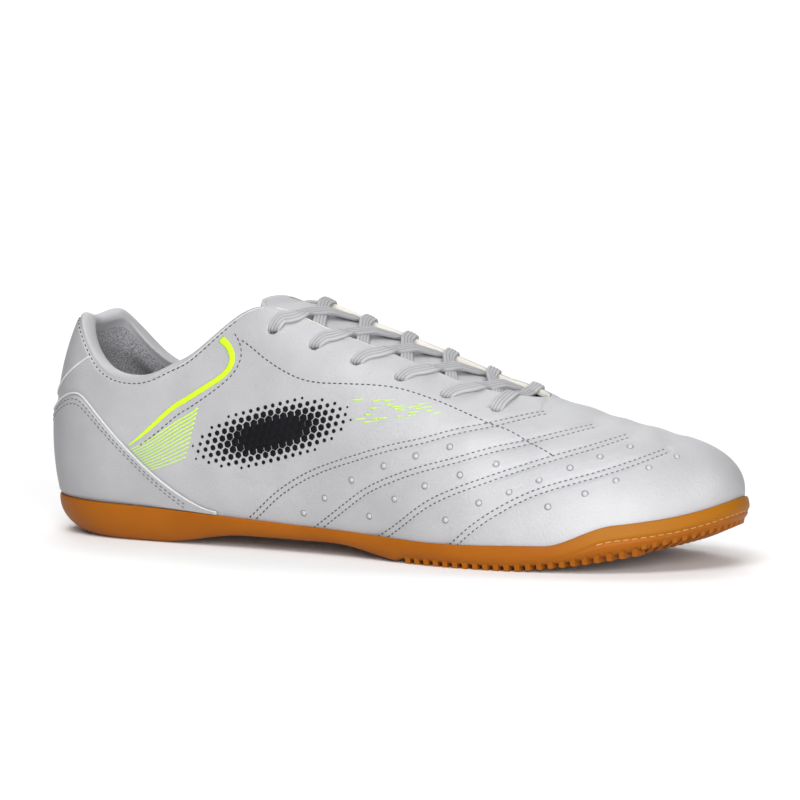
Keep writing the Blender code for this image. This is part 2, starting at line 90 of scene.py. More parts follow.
def column(outer, inner=None):
    """One value a section all the way round: outer side heel to toe, then inner side toe to heel."""
    there = SECTIONS[:, COLUMNS.index(outer)]
    back = SECTIONS[:, COLUMNS.index(inner or outer)]
    return np.concatenate([there, back[-2:0:-1]])


def eased(values, slopes, q):
    """A cubic from each value to the next that leaves and arrives with the slopes given."""
    i = np.floor(q).astype(int)
    f = q - i
    a, b = i % len(values), (i + 1) % len(values)
    near = (1 + 2 * f) * (1 - f) ** 2 * values[a] + f * (1 - f) ** 2 * slopes[a]
    return near + f * f * (3 - 2 * f) * values[b] + f * f * (f - 1) * slopes[b]


def smooth(values, q):
    """The closed curve through the values that bends least: slopes solve a ring of equations."""
    n = len(values)
    links = 4 * np.eye(n) + np.roll(np.eye(n), 1, 0) + np.roll(np.eye(n), -1, 0)
    slopes = np.linalg.solve(links, 3 * (np.roll(values, -1) - np.roll(values, 1)))
    return eased(values, slopes, q)


def held(values, q):
    """The closed curve that never passes beyond its values: slopes are harmonic means of the steps."""
    ahead = np.roll(values, -1) - values
    behind = np.roll(ahead, 1)
    same = ahead * behind > 0
    total = np.where(same, ahead + behind, 1.0)
    return eased(values, np.where(same, 2 * ahead * behind / total, 0.0), q)


def section_of(q):
    """The section that a place round the shoe lies at, the same on both sides."""
    q = np.mod(q, ROUND)
    return np.minimum(q, ROUND - q)


def step_up(x, low, high):
    """From 0 at low to 1 at high, flat at both ends: 3f^2 - 2f^3."""
    f = np.clip((x - low) / (high - low), 0, 1)
    return f * f * (3 - 2 * f)


def unit(v):
    """Vectors made one long."""
    return v / np.maximum(np.linalg.norm(v, axis=-1, keepdims=True), 1e-12)


print(len(SECTIONS), "sections")

# %% The surface of the last


def outline(q):
    """The foot of the upper all round, and the flat direction outward from it."""
    x, y = column("foot_x"), column("outer_y", "inner_y")
    run = smooth(x, q + NUDGE) - smooth(x, q - NUDGE)
    side = smooth(y, q + NUDGE) - smooth(y, q - NUDGE)
    out = unit(np.stack([side, -run, np.zeros_like(run)], -1))
    return np.stack([smooth(x, q), smooth(y, q), smooth(column("floor"), q)], -1), out


def fair_side(q):
    """How far to the side the top line lies, as if the throat ran out into the ridge."""
    sides, firm = column("outer_top_y", "inner_top_y"), step_up(section_of(q), *COLLAR_FIRM)
    y = held(sides, q) * firm + smooth(sides, q) * (1 - firm)
    return np.where(section_of(q) > THROAT_END, held(column("inner_top_y"), q), y)


def top_line(q):
    """Collar, facing edges rounded off at the throat's end by a quarter ellipse, then the ridge."""
    at = section_of(q)
    x = held(column("top_x"), q)
    y = fair_side(q)
    heights, firm = column("outer_top", "inner_top"), step_up(at, *COLLAR_FIRM)
    z = held(heights, q) * firm + smooth(heights, q) * (1 - firm)
    low, end = SECTIONS[THROAT_LOW], SECTIONS[THROAT_END]
    low_x, end_x = low[COLUMNS.index("top_x")], end[COLUMNS.index("top_x")]
    f = np.clip((x - low_x) / (end_x - low_x), 0, 1)
    side = np.where(np.mod(q, ROUND) <= TOE, -1.0, 1.0)
    arc = end[COLUMNS.index("outer_top_y")] * f
    arc = arc + side * low[COLUMNS.index("inner_top_y")] * np.sqrt(1 - f * f)
    y = np.where((at > THROAT_LOW) & (at <= THROAT_END), arc, y)
    z = np.where(at > THROAT_END, held(column("outer_top"), q), z)
    return np.stack([x, y, z], -1)


def last(q, t):
    """A cubic Bezier up each section: foot, belly, shoulder, top line."""
    q, t = np.broadcast_arrays(np.asarray(q, float), np.asarray(t, float))
    foot, out = outline(q)
    top, t = top_line(q), t[..., None]
    fair = np.stack([top[..., 0], fair_side(q), top[..., 2]], -1)
    up = np.array((0.0, 0.0, 1.0))
    low = foot + out * smooth(column("belly"), q)[..., None]
    low = low + up * smooth(column("belly_up"), q)[..., None]
    high = fair + out * smooth(column("shoulder"), q)[..., None]
    heights, lengths = SECTIONS[:, COLUMNS.index("outer_top")], SECTIONS[:, COLUMNS.index("top_x")]
    ridge, at = np.gradient(heights, lengths), section_of(q)
    slope = np.where(at > THROAT_LOW, np.interp(at, np.arange(TOE + 1), ridge), 0.0)
    high = high + up * ((high - fair)[..., 0] * slope - smooth(column("drop"), q))[..., None]
    s, edge = 1 - t, fair + (top - fair) * t**EDGE_POWER
    return s**3 * foot + 3 * s * s * t * low + 3 * s * t * t * high + t**3 * edge


TOP_SAFE = 0.985  # slopes are taken a little below the top line
RIDGE_SHARE = (0.9, 1.0)
CROWDED_SECTIONS, CROWDED_UP = (12.3, 13.3), (0.76, 0.9)


def raw_normal(q, t):
    """Straight out of one side: the cross product of the slope along q and the slope along t."""
    t = np.minimum(t, TOP_SAFE)
    along = last(q + NUDGE, t) - last(q - NUDGE, t)
    return unit(np.cross(along, last(q, t + NUDGE) - last(q, t - NUDGE)))


def normal(q, t):
    """Straight out of the last. Past the throat the two sides share one direction at the ridge.

    Where the sections crowd together at the ridge's front end, all take the toe's own direction.
    """
    q, t = np.broadcast_arrays(np.asarray(q, float), np.asarray(t, float))
    share = step_up(t, *RIDGE_SHARE) * (section_of(q) >= THROAT_END - 1e-6) / 2
    mine, other = raw_normal(q, t), raw_normal(ROUND - q, t)
    mean = unit(mine * (1 - share)[..., None] + other * share[..., None])
    crowded = (step_up(section_of(q), *CROWDED_SECTIONS) * step_up(t, *CROWDED_UP))[..., None]
    return unit(mean * (1 - crowded) + raw_normal(np.full_like(q, TOE), t) * crowded)


def height_to_t(q, z):
    """How far up the wall a height is reached, by halving."""
    q, z = np.broadcast_arrays(np.asarray(q, float), np.asarray(z, float))
    low, high = np.zeros_like(q), np.ones_like(q)
    for _ in range(HALVINGS):
        t = (low + high) / 2
        under = last(q, t)[..., 2] < z
        low, high = np.where(under, t, low), np.where(under, high, t)
    return (low + high) / 2


INSET_LOWEST = 0.2


def inset_to_t(q, distance):
    """How far up the wall a point lies this straight distance from the top line, by halving."""
    q, distance = np.broadcast_arrays(np.asarray(q, float), np.asarray(distance, float))
    top = last(q, np.ones_like(q))
    low, high = np.full_like(q, INSET_LOWEST), np.ones_like(q)
    for _ in range(HALVINGS):
        t = (low + high) / 2
        far = np.linalg.norm(last(q, t) - top, axis=-1) > distance
        low, high = np.where(far, t, low), np.where(far, high, t)
    return (low + high) / 2


print("instep at", last(FACING_TOP, 1.0).round(1), "toe at", last(TOE, 0.4).round(1))

# %% [markdown]
# ## The camera
# The photograph looks at the outer side from a little in front and a little above, through a long
# lens. Setting the camera first means that seams can be read off the photograph: a ray through a
# pixel meets the last at one place, and that place belongs to the shoe from every side.

# %% Camera
AZIMUTH, ELEVATION = math.radians(25.0), math.radians(6.5)
DISTANCE = 1600.0
FOCAL_PIXELS = 4080.0
IMAGE = 800
AIM = np.array((6.12, 0.0, 45.0))
AIM_PIXEL = np.array((401.0, 432.2))
BACK = np.array((
    math.sin(AZIMUTH) * math.cos(ELEVATION),
    -math.cos(AZIMUTH) * math.cos(ELEVATION),
    math.sin(ELEVATION),
))
RIGHT = np.array((math.cos(AZIMUTH), math.sin(AZIMUTH), 0.0))
UP = np.cross(BACK, RIGHT)

lens = bpy.data.cameras.new("camera")
lens.sensor_width = 36.0
lens.lens = FOCAL_PIXELS / IMAGE * lens.sensor_width
lens.shift_x = (IMAGE / 2 - AIM_PIXEL[0]) / IMAGE
lens.shift_y = (AIM_PIXEL[1] - IMAGE / 2) / IMAGE
lens.clip_end = 20.0
camera = bpy.data.objects.new("camera", lens)
camera.location = Vector((AIM + BACK * DISTANCE) * MM)
camera.rotation_euler = Vector(BACK).to_track_quat("Z", "Y").to_euler()
bpy.context.collection.objects.link(camera)
bpy.context.scene.camera = camera


def seen(points):
    """Where points of the last fall in the photograph, in pixels."""
    away = points - MIDDLE - AIM
    scale = FOCAL_PIXELS / (DISTANCE - away @ BACK)
    return np.stack([AIM_PIXEL[0] + scale * (away @ RIGHT), AIM_PIXEL[1] - scale * (away @ UP)], -1)


SEARCH, NEWTON_STEPS, PROBE = (281, 61), 12, 1e-4
EDGE_ON, MOST_Q, MOST_T = 50.0, 0.1, 0.05  # where the leather is seen edge on, steps are kept short


def on_last(pixels):
    """The q and t of the outer side at each pixel: nearest of a grid, then Newton's method."""
    pixels = np.asarray(pixels, float)
    along_q, along_t = np.linspace(0.0, TOE, SEARCH[0]), np.linspace(0.0, 1.0, SEARCH[1])
    q, t = np.meshgrid(along_q, along_t, indexing="ij")
    spread = seen(last(q, t)).reshape(-1, 2)
    nearest = np.argmin(((pixels[:, None] - spread[None]) ** 2).sum(-1), axis=1)
    place = np.stack([q.ravel()[nearest], t.ravel()[nearest]], -1)
    for _ in range(NEWTON_STEPS):
        here = seen(last(*place.T))
        by_q = (seen(last(place[:, 0] + PROBE, place[:, 1])) - here) / PROBE
        by_t = (seen(last(place[:, 0], place[:, 1] + PROBE)) - here) / PROBE
        miss = pixels - here
        area = by_q[:, 0] * by_t[:, 1] - by_q[:, 1] * by_t[:, 0]
        area = np.where(np.abs(area) < EDGE_ON, EDGE_ON, area)
        move_q = (miss[:, 0] * by_t[:, 1] - miss[:, 1] * by_t[:, 0]) / area
        move_t = (miss[:, 1] * by_q[:, 0] - miss[:, 0] * by_q[:, 1]) / area
        place[:, 0] += np.clip(move_q, -MOST_Q, MOST_Q)
        place[:, 1] = np.clip(place[:, 1] + np.clip(move_t, -MOST_T, MOST_T), 0.0, 1.0)
    return place


def through(knots, values, at):
    """A smooth open curve through values: cubics whose slopes come from the neighbours."""
    slopes = np.gradient(values, knots, axis=0)
    i = np.clip(np.searchsorted(knots, at) - 1, 0, len(knots) - 2)
    gap = knots[i + 1] - knots[i]
    f = ((at - knots[i]) / gap)[:, None]
    gap = gap[:, None]
    near = (1 + 2 * f) * (1 - f) ** 2 * values[i] + f * (1 - f) ** 2 * gap * slopes[i]
    return near + f * f * (3 - 2 * f) * values[i + 1] + f * f * (f - 1) * gap * slopes[i + 1]


def eased_line(line, reach):
    """A running mean along a line that leaves its two ends where they are."""
    reach = min(reach, (len(line) - 1) // 2)
    before = 2 * line[0] - line[reach:0:-1]
    after = 2 * line[-1] - line[-2 : -2 - reach : -1]
    padded = np.concatenate([before, line, after])
    sums = np.cumsum(np.concatenate([np.zeros((1, 2)), padded]), axis=0)
    return (sums[2 * reach + 1 :] - sums[: -2 * reach - 1]) / (2 * reach + 1)


def seam(pixels, spacing=1.0, ease=6.0):
    """A line on the last through pixels, as evenly spaced q and t, with small wobbles eased out."""
    place = on_last(pixels)
    run = np.linalg.norm(np.diff(last(*place.T), axis=0), axis=1)
    knots = np.concatenate([[0.0], np.cumsum(np.maximum(run, 0.05))])
    count = max(5, int(knots[-1] / spacing) + 1)
    line = through(knots, place, np.linspace(0, knots[-1], count))
    line = eased_line(eased_line(line, int(ease / spacing)), int(ease / spacing / 2))
    return np.stack([line[:, 0], np.clip(line[:, 1], 0.0, 1.0)], -1)


def inner_side(line):
    """The same line on the other side of the shoe."""
    return np.stack([ROUND - line[:, 0], line[:, 1]], -1)


def both_sides(line):
    """A line and its partner on the other side."""
    return line, inner_side(line)


print("heel rest falls at pixel", seen(np.array((35.0, -30.0, 0.0))).round(1))

# %% [markdown]
# ## Helpers for meshes
# Two shapes do nearly all the work: a grid of points, and a closed profile carried along a path.
# Both are filled in as whole arrays, so a piece with a hundred thousand faces is made in a moment.

# %% Meshes from arrays


def grid_quads(rows, columns, wrap_rows=False, wrap_columns=False, start=0):
    """Four corners of every cell of a grid that is numbered row by row."""
    i = np.arange(rows if wrap_rows else rows - 1)[:, None]
    j = np.arange(columns if wrap_columns else columns - 1)[None, :]
    a, b = i * columns, (i + 1) % rows * columns
    k = (j + 1) % columns
    return (start + np.stack(np.broadcast_arrays(a + j, b + j, b + k, a + k), -1)).reshape(-1, 4)


def tube_faces(rows, columns):
    """Faces of a tube of rows of points, each row a closed loop, with a cap at both ends."""
    first = np.arange(columns)
    quads = grid_quads(rows, columns, wrap_columns=True)[:, ::-1]
    return [*quads, first[::-1], first + (rows - 1) * columns]


def carried(path, up, profile):
    """A closed profile of a, b pairs along a path: path + a across + b upright, capped at both ends."""
    run = unit(np.gradient(path, axis=0))
    across = unit(np.cross(up, run))
    upright = np.cross(run, across)
    profile = np.broadcast_to(profile, (len(path), *np.shape(profile)[-2:]))
    points = path[:, None] + across[:, None] * profile[..., :1] + upright[:, None] * profile[..., 1:]
    return points.reshape(-1, 3), tube_faces(*points.shape[:2])


def run_length(path):
    """How far along a path each of its points lies."""
    return np.concatenate([[0.0], np.cumsum(np.linalg.norm(np.diff(path, axis=0), axis=1))])


def read_along(run, values, at):
    """Rows of values read at places along a run, straight between neighbours."""
    return np.stack([np.interp(at, run, part) for part in values.T], -1)


def add_piece(
    name, points, faces, material, slot, stands_for=(), merge=None, attributes=None, second=None,
):
    """A smooth mesh at the origin, in metres, that rides on the shoe.

    Attributes are numbers stored on its points, and second marks the faces of a second finish.
    """
    mesh = bpy.data.meshes.new(name)
    metres = (np.asarray(points) - MIDDLE) * MM
    mesh.from_pydata(metres.tolist(), [], [list(map(int, f)) for f in faces])
    for key, values in (attributes or {}).items():
        layer = mesh.attributes.new(key, "FLOAT", "POINT")
        layer.data.foreach_set("value", np.asarray(values, np.float32).ravel())
    if second is not None:
        mesh.polygons.foreach_set("material_index", np.asarray(second, np.int32))
    if merge:
        made = bmesh.new()
        made.from_mesh(mesh)
        bmesh.ops.remove_doubles(made, verts=made.verts, dist=merge * MM)
        bmesh.ops.dissolve_degenerate(made, edges=made.edges, dist=1e-7)
        made.to_mesh(mesh)
        made.free()
    mesh.shade_smooth()
    mesh.materials.append(material)
    piece = bpy.data.objects.new(name, mesh)
    bpy.context.collection.objects.link(piece)
    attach(piece, "root")
    if stands_for:
        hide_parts(*stands_for)
    print(name, len(mesh.vertices), "points", len(mesh.polygons), "faces")
    return piece


class Bundle:
    """Many small shapes gathered into one mesh."""

    def __init__(self):
        self.points, self.faces, self.count = [], [], 0

    def add(self, points, faces):
        self.points.append(points)
        self.faces += [np.asarray(f) + self.count for f in faces]
        self.count += len(points)

    def all(self):
        return np.concatenate(self.points), self.faces


print("a grid of 3 by 4 points has", len(grid_quads(3, 4)), "faces")

# %% [markdown]
# ## Finishes
# Each finish is a Principled shader with colour, roughness and bump made by noise on Object
# coordinates, which are metres here. So a scale of 1000 means a pattern about a millimetre across.
# Pictures could give the grain, but noise needs no unwrapping and has no seam.

# %% Shader helpers


def new_finish(name, colour, roughness):
    """A plain Principled finish, with its nodes, links and shader for what is added."""
    material = bpy.data.materials.new(name)
    material.use_nodes = True
    nodes, links = material.node_tree.nodes, material.node_tree.links
    shader = nodes["Principled BSDF"]
    shader.inputs["Base Color"].default_value = (*colour, 1.0)
    shader.inputs["Roughness"].default_value = roughness
    return material, nodes, links, shader


def place_node(nodes):
    """Where on the shoe a point lies, in metres."""
    return nodes.new("ShaderNodeTexCoord").outputs["Object"]


def noise(nodes, links, where, scale, detail=3.0):
    """A cloudy pattern from 0 to 1."""
    made = nodes.new("ShaderNodeTexNoise")
    made.inputs["Scale"].default_value = scale
    made.inputs["Detail"].default_value = detail
    links.new(where, made.inputs["Vector"])
    return made.outputs["Fac"]


def ramp(nodes, links, value, stops):
    """A number turned into a colour between two stops, each a position and a colour."""
    made = nodes.new("ShaderNodeValToRGB")
    for element, (position, colour) in zip(made.color_ramp.elements, stops):
        element.position, element.color = position, (*colour, 1.0)
    links.new(value, made.inputs["Fac"])
    return made.outputs["Color"]


def bump(nodes, links, shader, height, strength, depth_mm):
    """Dents of a depth in millimetres, seen in the shading alone."""
    made = nodes.new("ShaderNodeBump")
    made.inputs["Strength"].default_value = strength
    made.inputs["Distance"].default_value = depth_mm * MM
    links.new(height, made.inputs["Height"])
    links.new(made.outputs["Normal"], shader.inputs["Normal"])


LEAST_PATCH, MOST_PATCH, FIBRE_SCALE = 0.3, 0.7, 2500


def grained(name, dark, light, roughness, grain_scale, strength, depth_mm, patch_scale=60.0):
    """Colour drifts between two tones in soft patches, and a fine grain dents the surface."""
    material, nodes, links, shader = new_finish(name, light, roughness)
    where = place_node(nodes)
    patches = noise(nodes, links, where, patch_scale)
    colour = ramp(nodes, links, patches, ((LEAST_PATCH, dark), (MOST_PATCH, light)))
    links.new(colour, shader.inputs["Base Color"])
    bump(nodes, links, shader, noise(nodes, links, where, grain_scale, 4.0), strength, depth_mm)
    return material


def fading(name, attribute, near, far, roughness):
    """A finish that drifts from one colour to another with a number stored on the mesh's points."""
    material, nodes, links, shader = new_finish(name, near, roughness)
    stored = nodes.new("ShaderNodeAttribute")
    stored.attribute_name = attribute
    colour = ramp(nodes, links, stored.outputs["Fac"], ((0.0, near), (1.0, far)))
    links.new(colour, shader.inputs["Base Color"])
    bump(nodes, links, shader, noise(nodes, links, place_node(nodes), FIBRE_SCALE), 0.3, 0.1)
    return material


# %% Leather, prints, cloth and thread
LEATHER_GRAIN = (0.62, 1100, 0.55, 0.35)  # roughness, grain scale, strength and depth
leather = grained("silver_leather", (0.34, 0.34, 0.352), (0.375, 0.375, 0.387), *LEATHER_GRAIN)
# The counter is a darker copy of the upper's leather: painted shade on the heel.
counter_leather = grained(
    "counter_leather", (0.315, 0.315, 0.327), (0.345, 0.345, 0.357), *LEATHER_GRAIN,
)
for silver in (leather, counter_leather):
    silver.node_tree.nodes["Principled BSDF"].inputs["Metallic"].default_value = 0.25
pale_piping = grained("pale_piping", (0.43, 0.43, 0.44), (0.48, 0.48, 0.49), 0.5, 1500, 0.2, 0.1)
neon_print = grained("neon_print", (0.43, 0.73, 0.006), (0.48, 0.79, 0.009), 0.6, 1500, 0.15, 0.08)
black_print = grained("black_print", (0.003, 0.003, 0.004), (0.006, 0.006, 0.008), 0.6, 900, 0.3, 0.1)
black_print.node_tree.nodes["Principled BSDF"].inputs["Specular IOR Level"].default_value = 0.12
lining = grained(
    "speckled_lining", (0.12, 0.12, 0.13), (0.4, 0.4, 0.42), 0.85, 1800, 0.7, 0.4, patch_scale=1600,
)
sock_cloth = grained(
    "insole_cloth", (0.33, 0.33, 0.34), (0.45, 0.45, 0.46), 0.9, 1500, 0.6, 0.3, patch_scale=900,
)
cream_edge = grained("raw_edge", (0.5, 0.475, 0.42), (0.58, 0.555, 0.5), 0.8, 1200, 0.4, 0.2)
# The braid darkens where the lace is furrowed: painted shade in the furrows.
braid_painted_furrow_shade = fading("lace_braid", "furrow", (0.32, 0.32, 0.33), (0.21, 0.21, 0.22), 0.85)
thread = fading("stitch_thread", "fade", (0.035, 0.035, 0.04), (0.2, 0.2, 0.21), 0.8)
print(len(bpy.data.materials), "finishes")

# %% [markdown]
# ## The relief of the upper
# Four padded channels sweep from the sole up over the toes. Each is stitched down in two rows, so
# the leather dips there and swells between. The dip is a function of the distance to the channel's
# middle line, so it needs no sculpting and stays the same on both sides of the ridge.

# %% Channel lines read off the photograph
CHANNELS = (
    ((247, 523), (253, 518), (273, 498), (292, 484), (319, 470), (355, 458), (391, 447), (420, 441),
     (461, 429), (490, 424), (522, 416), (549, 411)),
    ((314, 531), (319, 527), (343, 508), (362, 493), (391, 479), (420, 469), (461, 458), (492, 449),
     (529, 441), (568, 431), (596, 424)),
    ((374, 543), (379, 539), (399, 525), (420, 508), (446, 494), (476, 483), (507, 472), (538, 462),
     (568, 453), (599, 444), (630, 434)),
    ((446, 551), (452, 546), (469, 530), (492, 514), (530, 494), (568, 482), (607, 471), (639, 460),
     (668, 449)),
)
channel_lines = [seam(pixels, 0.8) for pixels in CHANNELS]
channel_lines += [inner_side(line) for line in channel_lines]
TURN_UP = np.array((0.3, 1.0))


def run_out(line, steps=24):
    """The line carried on in q and t, more steeply, from where its stitches stop up to the ridge."""
    way = (line[-1] - line[-9]) * TURN_UP
    share = np.linspace(0, (1 - line[-1, 1]) / way[1], steps)[1:, None]
    return np.concatenate([line, line[-1] + way * share])


to_ridge = np.concatenate([run_out(line) for line in channel_lines])
channel_points = last(*to_ridge.T)
sewn_points = np.concatenate([last(*line.T) for line in channel_lines])
print(len(channel_lines), "channels,", len(channel_points), "points")

# %% How far the leather stands off the last
ROW_GAP = 1.1
DIP_NARROW, DIP_WIDE = (0.5, 0.85), (0.55, 5.5)  # depth and half width, at the rows and between them
LEATHER_RISE, VAMP_FROM = 0.35, (4.5, 6.5)
COLLAR_DENT, COLLAR_ENDS = (0.8, 1.0), (4.6, 5.1)


def nearest_gap(points, targets, block=4000):
    """Distance from each point to the nearest target, worked out in blocks of points."""
    flat = points.reshape(-1, 3)
    gaps = [
        np.sqrt(((flat[k : k + block, None] - targets[None]) ** 2).sum(-1).min(1))
        for k in range(0, len(flat), block)
    ]
    return np.concatenate(gaps).reshape(points.shape[:-1])


def collar_seam(q, t):
    """A dent where the collar's roll is sewn on, along the top line."""
    below = np.linalg.norm(last(q, t) - last(q, np.ones_like(t)), axis=-1)
    depth, wide = COLLAR_DENT
    return depth * np.exp(-((below / wide) ** 2)) * (1 - step_up(section_of(q), *COLLAR_ENDS))


def relief(q, t):
    """How far the finished leather stands off the last."""
    points = last(q, t)
    from_rows = nearest_gap(points, sewn_points) - ROW_GAP
    dip = DIP_NARROW[0] * np.exp(-((from_rows / DIP_NARROW[1]) ** 2))
    dip = dip + DIP_WIDE[0] * np.exp(-((nearest_gap(points, channel_points) / DIP_WIDE[1]) ** 2))
    vamp = step_up(section_of(q), *VAMP_FROM)
    return (LEATHER_RISE - dip) * vamp - collar_seam(q, t)


def skin(q, t, off=0.0):
    """A point on the finished leather, or a distance off it."""
    q, t = np.broadcast_arrays(np.asarray(q, float), np.asarray(t, float))
    return last(q, t) + normal(q, t) * (relief(q, t) + off)[..., None]


print("a channel's bed lies at", relief(*channel_lines[0][30:31].T).round(2), "mm")

# %% [markdown]
# ## The upper
# One lasted shell with a real wall: outside, a rounded rim at the collar and facings, and inside.
# It could be a sheet with a Solidify modifier, but the rim would stay square. So three grids are
# worked out and welded: past the throat the two sides meet on the ridge and no rim is needed. The
# lining is a second finish on the faces of the inside that lie a little below the rim.

# %% The upper's shell
COLLAR_PAD, COLLAR_DEPTH, PAD_ENDS = 4.8, 0.3, (0.2, 1.2)
UP_OUTSIDE, UP_INSIDE, RIM_STEPS = 124, 28, 13
half = np.concatenate([
    np.linspace(0, FACING_TOP, 96),
    np.linspace(FACING_TOP, THROAT_LOW, 72)[1:],
    THROAT_LOW + np.sin(np.radians(np.linspace(0, 90, 22)[1:])),
    np.linspace(THROAT_END, TOE, 92)[1:],
])
around = np.concatenate([half, ROUND - half[-2:0:-1]])
at_around = section_of(around)


def wall_thickness(q, t):
    """The leather, and near the collar's top a pad that swells inward and ends before the facings."""
    near_top = np.clip((t - (1 - COLLAR_DEPTH)) / (0.6 * COLLAR_DEPTH), 0, 1)
    in_collar = np.clip((FACING_TOP - PAD_ENDS[0] - section_of(q)) / PAD_ENDS[1], 0, 1)
    return WALL + COLLAR_PAD * step_up(near_top * in_collar, 0.0, 1.0)


def shared_ridge(sheet):
    """The sheet's top row with the two sides' points made one where they meet on the ridge."""
    top, mirrored = sheet[:, -1], sheet[(-np.arange(len(around))) % len(around), -1]
    return np.where((at_around >= THROAT_END - 1e-6)[:, None], (top + mirrored) / 2, top)


print(len(around), "places round the shoe, wall at the heel's top", wall_thickness(0.0, 1.0), "mm")

# %% Outside, inside and rim
FACING_ROUND, ROLL_SWELL, ROUND_ENDS = 0.8, 0.32, (8.7, THROAT_END)
ROLL_SECTIONS = np.array((0.0, 1.2, 2.2, 3.2, 4.2, 5.0))
ROLL_HEIGHTS = np.array((2.9, 2.9, 2.9, 2.7, 1.7, 1.0))
PAD_ROUNDING, HEEL_SECTIONS, HEEL_UP = 10, (2.6, 3.6), (0.35, 0.6)
LINING_FROM, WELD = 1, 0.002
in_facing = step_up(at_around, *COLLAR_ENDS)
rim_inset = FACING_ROUND * in_facing * (1 - step_up(at_around, *ROUND_ENDS))
rim_rise = rim_inset + np.interp(at_around, ROLL_SECTIONS, ROLL_HEIGHTS) * (1 - in_facing)
t_rim = np.where(rim_inset > 0.01, inset_to_t(around, rim_inset), 1.0)

t_out = np.linspace(0, 1, UP_OUTSIDE)[None] * t_rim[:, None]
q_out = np.broadcast_to(around[:, None], t_out.shape)
outside = skin(q_out, t_out)
outside[:, -1] = shared_ridge(outside)

t_in = np.linspace(1, 0, UP_INSIDE)[None] * t_rim[:, None]
q_in = np.broadcast_to(around[:, None], t_in.shape)
inside = last(q_in, t_in) - normal(q_in, t_in) * wall_thickness(q_in, t_in)[..., None]
neighbours = range(-PAD_ROUNDING, PAD_ROUNDING + 1)
rounded = np.mean([np.roll(inside, k, axis=0) for k in neighbours], axis=0)
in_heel = (1 - step_up(at_around, *HEEL_SECTIONS))[:, None] * step_up(t_in, *HEEL_UP)
inside = inside + (rounded - inside) * in_heel[..., None]

on_outer, on_inner = around <= THROAT_END + 1e-6, around >= ROUND - THROAT_END - 1e-6
open_rim = np.concatenate([np.where(on_outer)[0], np.where(on_inner)[0]])
open_rim = open_rim[np.argsort(np.mod(around[open_rim] + TOE, ROUND))]
outer_edge, inner_edge = outside[open_rim, -1], inside[open_rim, 0]
upward = unit(last(around, t_rim) - last(around, t_rim - 0.02))[open_rim]
turn = np.linspace(0, math.pi, RIM_STEPS)[None, :, None]
middle, half_gap = (outer_edge + inner_edge) / 2, (outer_edge - inner_edge) / 2
swell = 1 + ROLL_SWELL * (1 - in_facing[open_rim])[:, None, None] * np.sin(turn)
rim = middle[:, None] + half_gap[:, None] * np.cos(turn) * swell
rim = rim + upward[:, None] * rim_rise[open_rim][:, None, None] * np.sin(turn)

n_out, n_in = outside[..., 0].size, inside[..., 0].size
faces = [
    grid_quads(*outside.shape[:2], wrap_rows=True),
    grid_quads(*inside.shape[:2], wrap_rows=True, start=n_out),
    grid_quads(*rim.shape[:2], start=n_out + n_in),
]
foot_out = np.arange(len(around)) * UP_OUTSIDE
foot_in = n_out + np.arange(len(around)) * UP_INSIDE + UP_INSIDE - 1
faces.append(np.stack([np.roll(foot_out, -1), foot_out, foot_in, np.roll(foot_in, -1)], -1))
points = np.concatenate([outside.reshape(-1, 3), inside.reshape(-1, 3), rim.reshape(-1, 3)])
is_lining = [np.zeros(len(group)) for group in faces]
below_rim = np.arange(UP_INSIDE - 1) >= LINING_FROM
is_lining[1] = np.broadcast_to(below_rim, (len(around), UP_INSIDE - 1)).ravel()
upper = add_piece(
    "upper_shell", points, np.concatenate(faces), leather, "silver_leather", ("upper",), merge=WELD,
    second=np.concatenate(is_lining),
)
upper.data.materials.append(lining)

# %% [markdown]
# The eyelets are punched, with no metal. Twelve short rods stand square to the leather, and one
# Boolean takes them all out of the shell, so the lace can really pass through.

# %% Eyelets
EYELETS, EYELET_X, EYELET_INSETS = 6, (108.0, 200.5), (9.0, 11.0)
EYELET_BORE, ROD_LENGTH, ROD_SIDES = 4.6, 10.0, 24
dense = np.linspace(FACING_TOP, THROAT_END, 801)
eyelet_rows = np.interp(np.linspace(*EYELET_X, EYELETS), top_line(dense)[:, 0], dense)
eyelet_t = inset_to_t(eyelet_rows, np.linspace(*EYELET_INSETS, EYELETS))
eye_place = np.stack([eyelet_rows, eyelet_t], -1)
punch = bmesh.new()
for q_eye, t_eye in np.concatenate([eye_place, inner_side(eye_place)]):
    centre, straight = (last(q_eye, t_eye) - MIDDLE) * MM, raw_normal(q_eye, t_eye)
    turned = Vector(straight).to_track_quat("Z", "Y").to_matrix().to_4x4()
    bmesh.ops.create_cone(
        punch, cap_ends=True, segments=ROD_SIDES, radius1=EYELET_BORE / 2 * MM,
        radius2=EYELET_BORE / 2 * MM, depth=ROD_LENGTH * MM,
        matrix=Matrix.Translation(Vector(centre)) @ turned,
    )
rods = bpy.data.objects.new("rods", bpy.data.meshes.new("rods"))
punch.to_mesh(rods.data)
punch.free()
bpy.context.collection.objects.link(rods)
cut = upper.modifiers.new("punched", "BOOLEAN")
cut.object, cut.operation, cut.solver = rods, "DIFFERENCE", "EXACT"
finished = upper.evaluated_get(bpy.context.evaluated_depsgraph_get())
punched = bpy.data.meshes.new_from_object(finished)
upper.modifiers.clear()
upper.data = punched
bpy.data.objects.remove(rods)
print("punched shell", len(punched.polygons), "faces")

# %% [markdown]
# ## The cup sole
# Gum rubber moulded as a cup: its wall rises a few millimetres up the upper, steps up into a bumper
# round the toe, and tucks in underneath. A block could be hollowed with a Boolean, but the lip has to
# follow the leather all the way. So each ring round the shoe is one height of that wall, measured
# off the last.

